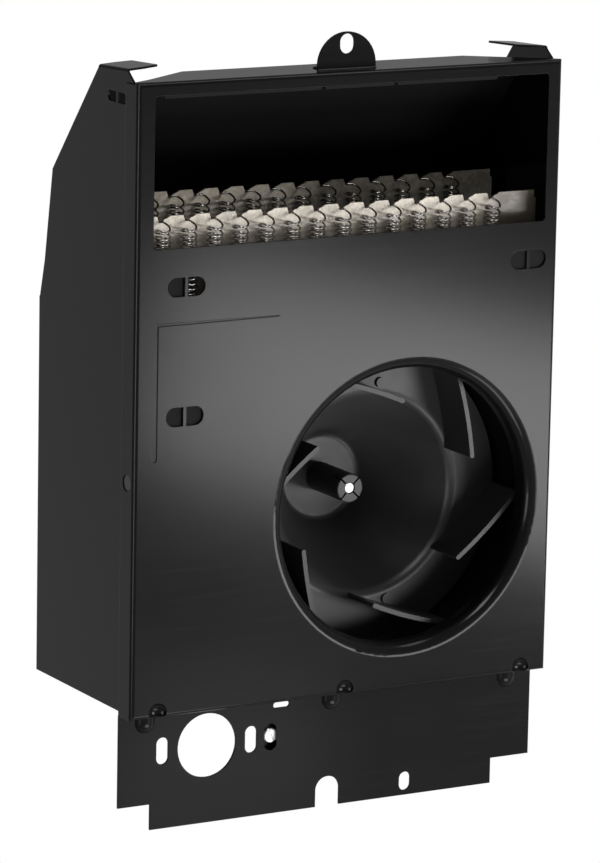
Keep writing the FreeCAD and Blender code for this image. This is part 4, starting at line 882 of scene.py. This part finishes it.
@dataclass
class Studio:
    """Floor, light and camera.

    The floor is in metres, and the camera's eye is in millimetres of the panel's frame. Right, down and
    ahead are the camera's own axes, and frame_px is the longer side of the image that focal_px belongs to.
    """

    floor_z: float = -0.62
    floor_half: float = 9.0
    floor_lines: int = 9
    floor_grey: float = 0.80
    floor_gloss: float = 0.85
    fill: float = 0.24
    sky_gloss: float = 0.15
    focal_px: float = 4963.93
    frame_px: float = 863.0
    sensor_mm: float = 36.0
    clip: tuple[float, float] = (0.01, 100.0)
    eye: Triple = (-996.95, -1711.09, 268.23)
    right: Triple = (0.8708, -0.4913, 0.0190)
    down: Triple = (-0.0849, -0.1884, -0.9784)
    ahead: Triple = (0.4843, 0.8504, -0.2058)

    def seen_white(self, desk: Desk, gloss: float) -> Signal:
        """Tell the rays that see white.

        Args:
            desk: the tree.
            gloss: the share for rays from gloss.

        Returns:
            1 for rays from the camera or through glass, the share for rays from gloss, else 0.
        """
        camera, glossy, through = [desk.node("ShaderNodeLightPath", out=name) for name in
                                   ("Is Camera Ray", "Is Glossy Ray", "Is Transmission Ray")]
        return camera.at_least(glossy * gloss).at_least(through)

    def build_floor(self) -> bpy.types.Object:
        """Make a plain pale floor that is seen as white.

        It is a grid in x and y that is flat in z, with its rows turned round so that its faces look up.

        Returns:
            The floor.
        """
        edge = np.linspace(-self.floor_half, self.floor_half, self.floor_lines)
        x, y = np.meshgrid(edge, edge, indexing="ij")
        grid = np.stack([x, y, np.full_like(x, self.floor_z)], axis=-1)[::-1]
        floor = mesh_piece("floor", grid, around=False, along=False)
        material = bpy.data.materials.new("pale_floor")
        material.use_nodes = True
        desk = Desk(material.node_tree)
        plain = desk.node("ShaderNodeBsdfDiffuse", {}, {"Color": (*(self.floor_grey,) * 3, 1.0)})
        white = desk.node("ShaderNodeEmission", {}, {"Color": WHITE, "Strength": 1.0})
        seen = self.seen_white(desk, self.floor_gloss)
        both = desk.node("ShaderNodeMixShader", {}, {0: seen, 1: plain, 2: white})
        desk.node("ShaderNodeOutputMaterial", {}, {"Surface": both})
        floor.data.materials.append(material)
        return floor

    def build_world(self) -> None:
        """Make a world that the camera sees as white and that fills everything else with soft light."""
        world = bpy.data.worlds.new("studio")
        bpy.context.scene.world = world
        world.use_nodes = True
        desk = Desk(world.node_tree)
        soft = desk.node("ShaderNodeBackground", {}, {"Color": WHITE, "Strength": self.fill})
        white = desk.node("ShaderNodeBackground", {}, {"Color": WHITE, "Strength": 1.0})
        seen = self.seen_white(desk, self.sky_gloss)
        both = desk.node("ShaderNodeMixShader", {}, {0: seen, 1: soft, 2: white})
        desk.node("ShaderNodeOutputWorld", {}, {"Surface": both})

    def build_camera(self) -> bpy.types.Object:
        """Make the camera at the photograph's place and angle.

        Returns:
            The camera.
        """
        data = bpy.data.cameras.new("camera")
        data.sensor_width = self.sensor_mm
        data.lens = self.focal_px / self.frame_px * self.sensor_mm
        data.clip_start, data.clip_end = self.clip
        camera = bpy.data.objects.new("camera", data)
        turn = Matrix((self.right, [-v for v in self.down], [-v for v in self.ahead])).transposed()
        place = Vector(from_panel(np.array(self.eye)))
        camera.matrix_world = Matrix.Translation(place) @ turn.to_4x4()
        bpy.context.scene.collection.objects.link(camera)
        bpy.context.scene.camera = camera
        return camera

    def build(self) -> None:
        """Set up the whole studio."""
        bpy.context.scene.view_settings.view_transform = "Standard"
        self.build_floor()
        self.build_world()
        self.build_camera()
        for lamp in LAMPS:
            lamp.build()


ELEMENT_ROWS: tuple[ElementRow, ...] = (
    ElementRow("front_coil_row", "front_heating_coil", "front_wire", card_y=9.4, lift=0.0, first_x=-82.9,
               coil_shift=-1.1, seed=7),
    ElementRow("rear_coil_row", "rear_heating_coil", "rear_wire", card_y=44.5, lift=3.6, first_x=-83.8,
               coil_shift=1.0, seed=11),
)


def main() -> None:
    """Build the heater's looks in order and report each piece."""
    logging.basicConfig(level=logging.INFO, format="%(name)s: %(message)s")
    wardrobe = Wardrobe()
    wardrobe.dress_nodes()
    for part in (*ELEMENT_ROWS, FieldCoil()):
        piece = part.build(wardrobe)
        LOG.info("made %s with %d faces", piece.name, len(piece.data.polygons))
    Studio().build()


if __name__ == "__main__":
    main()
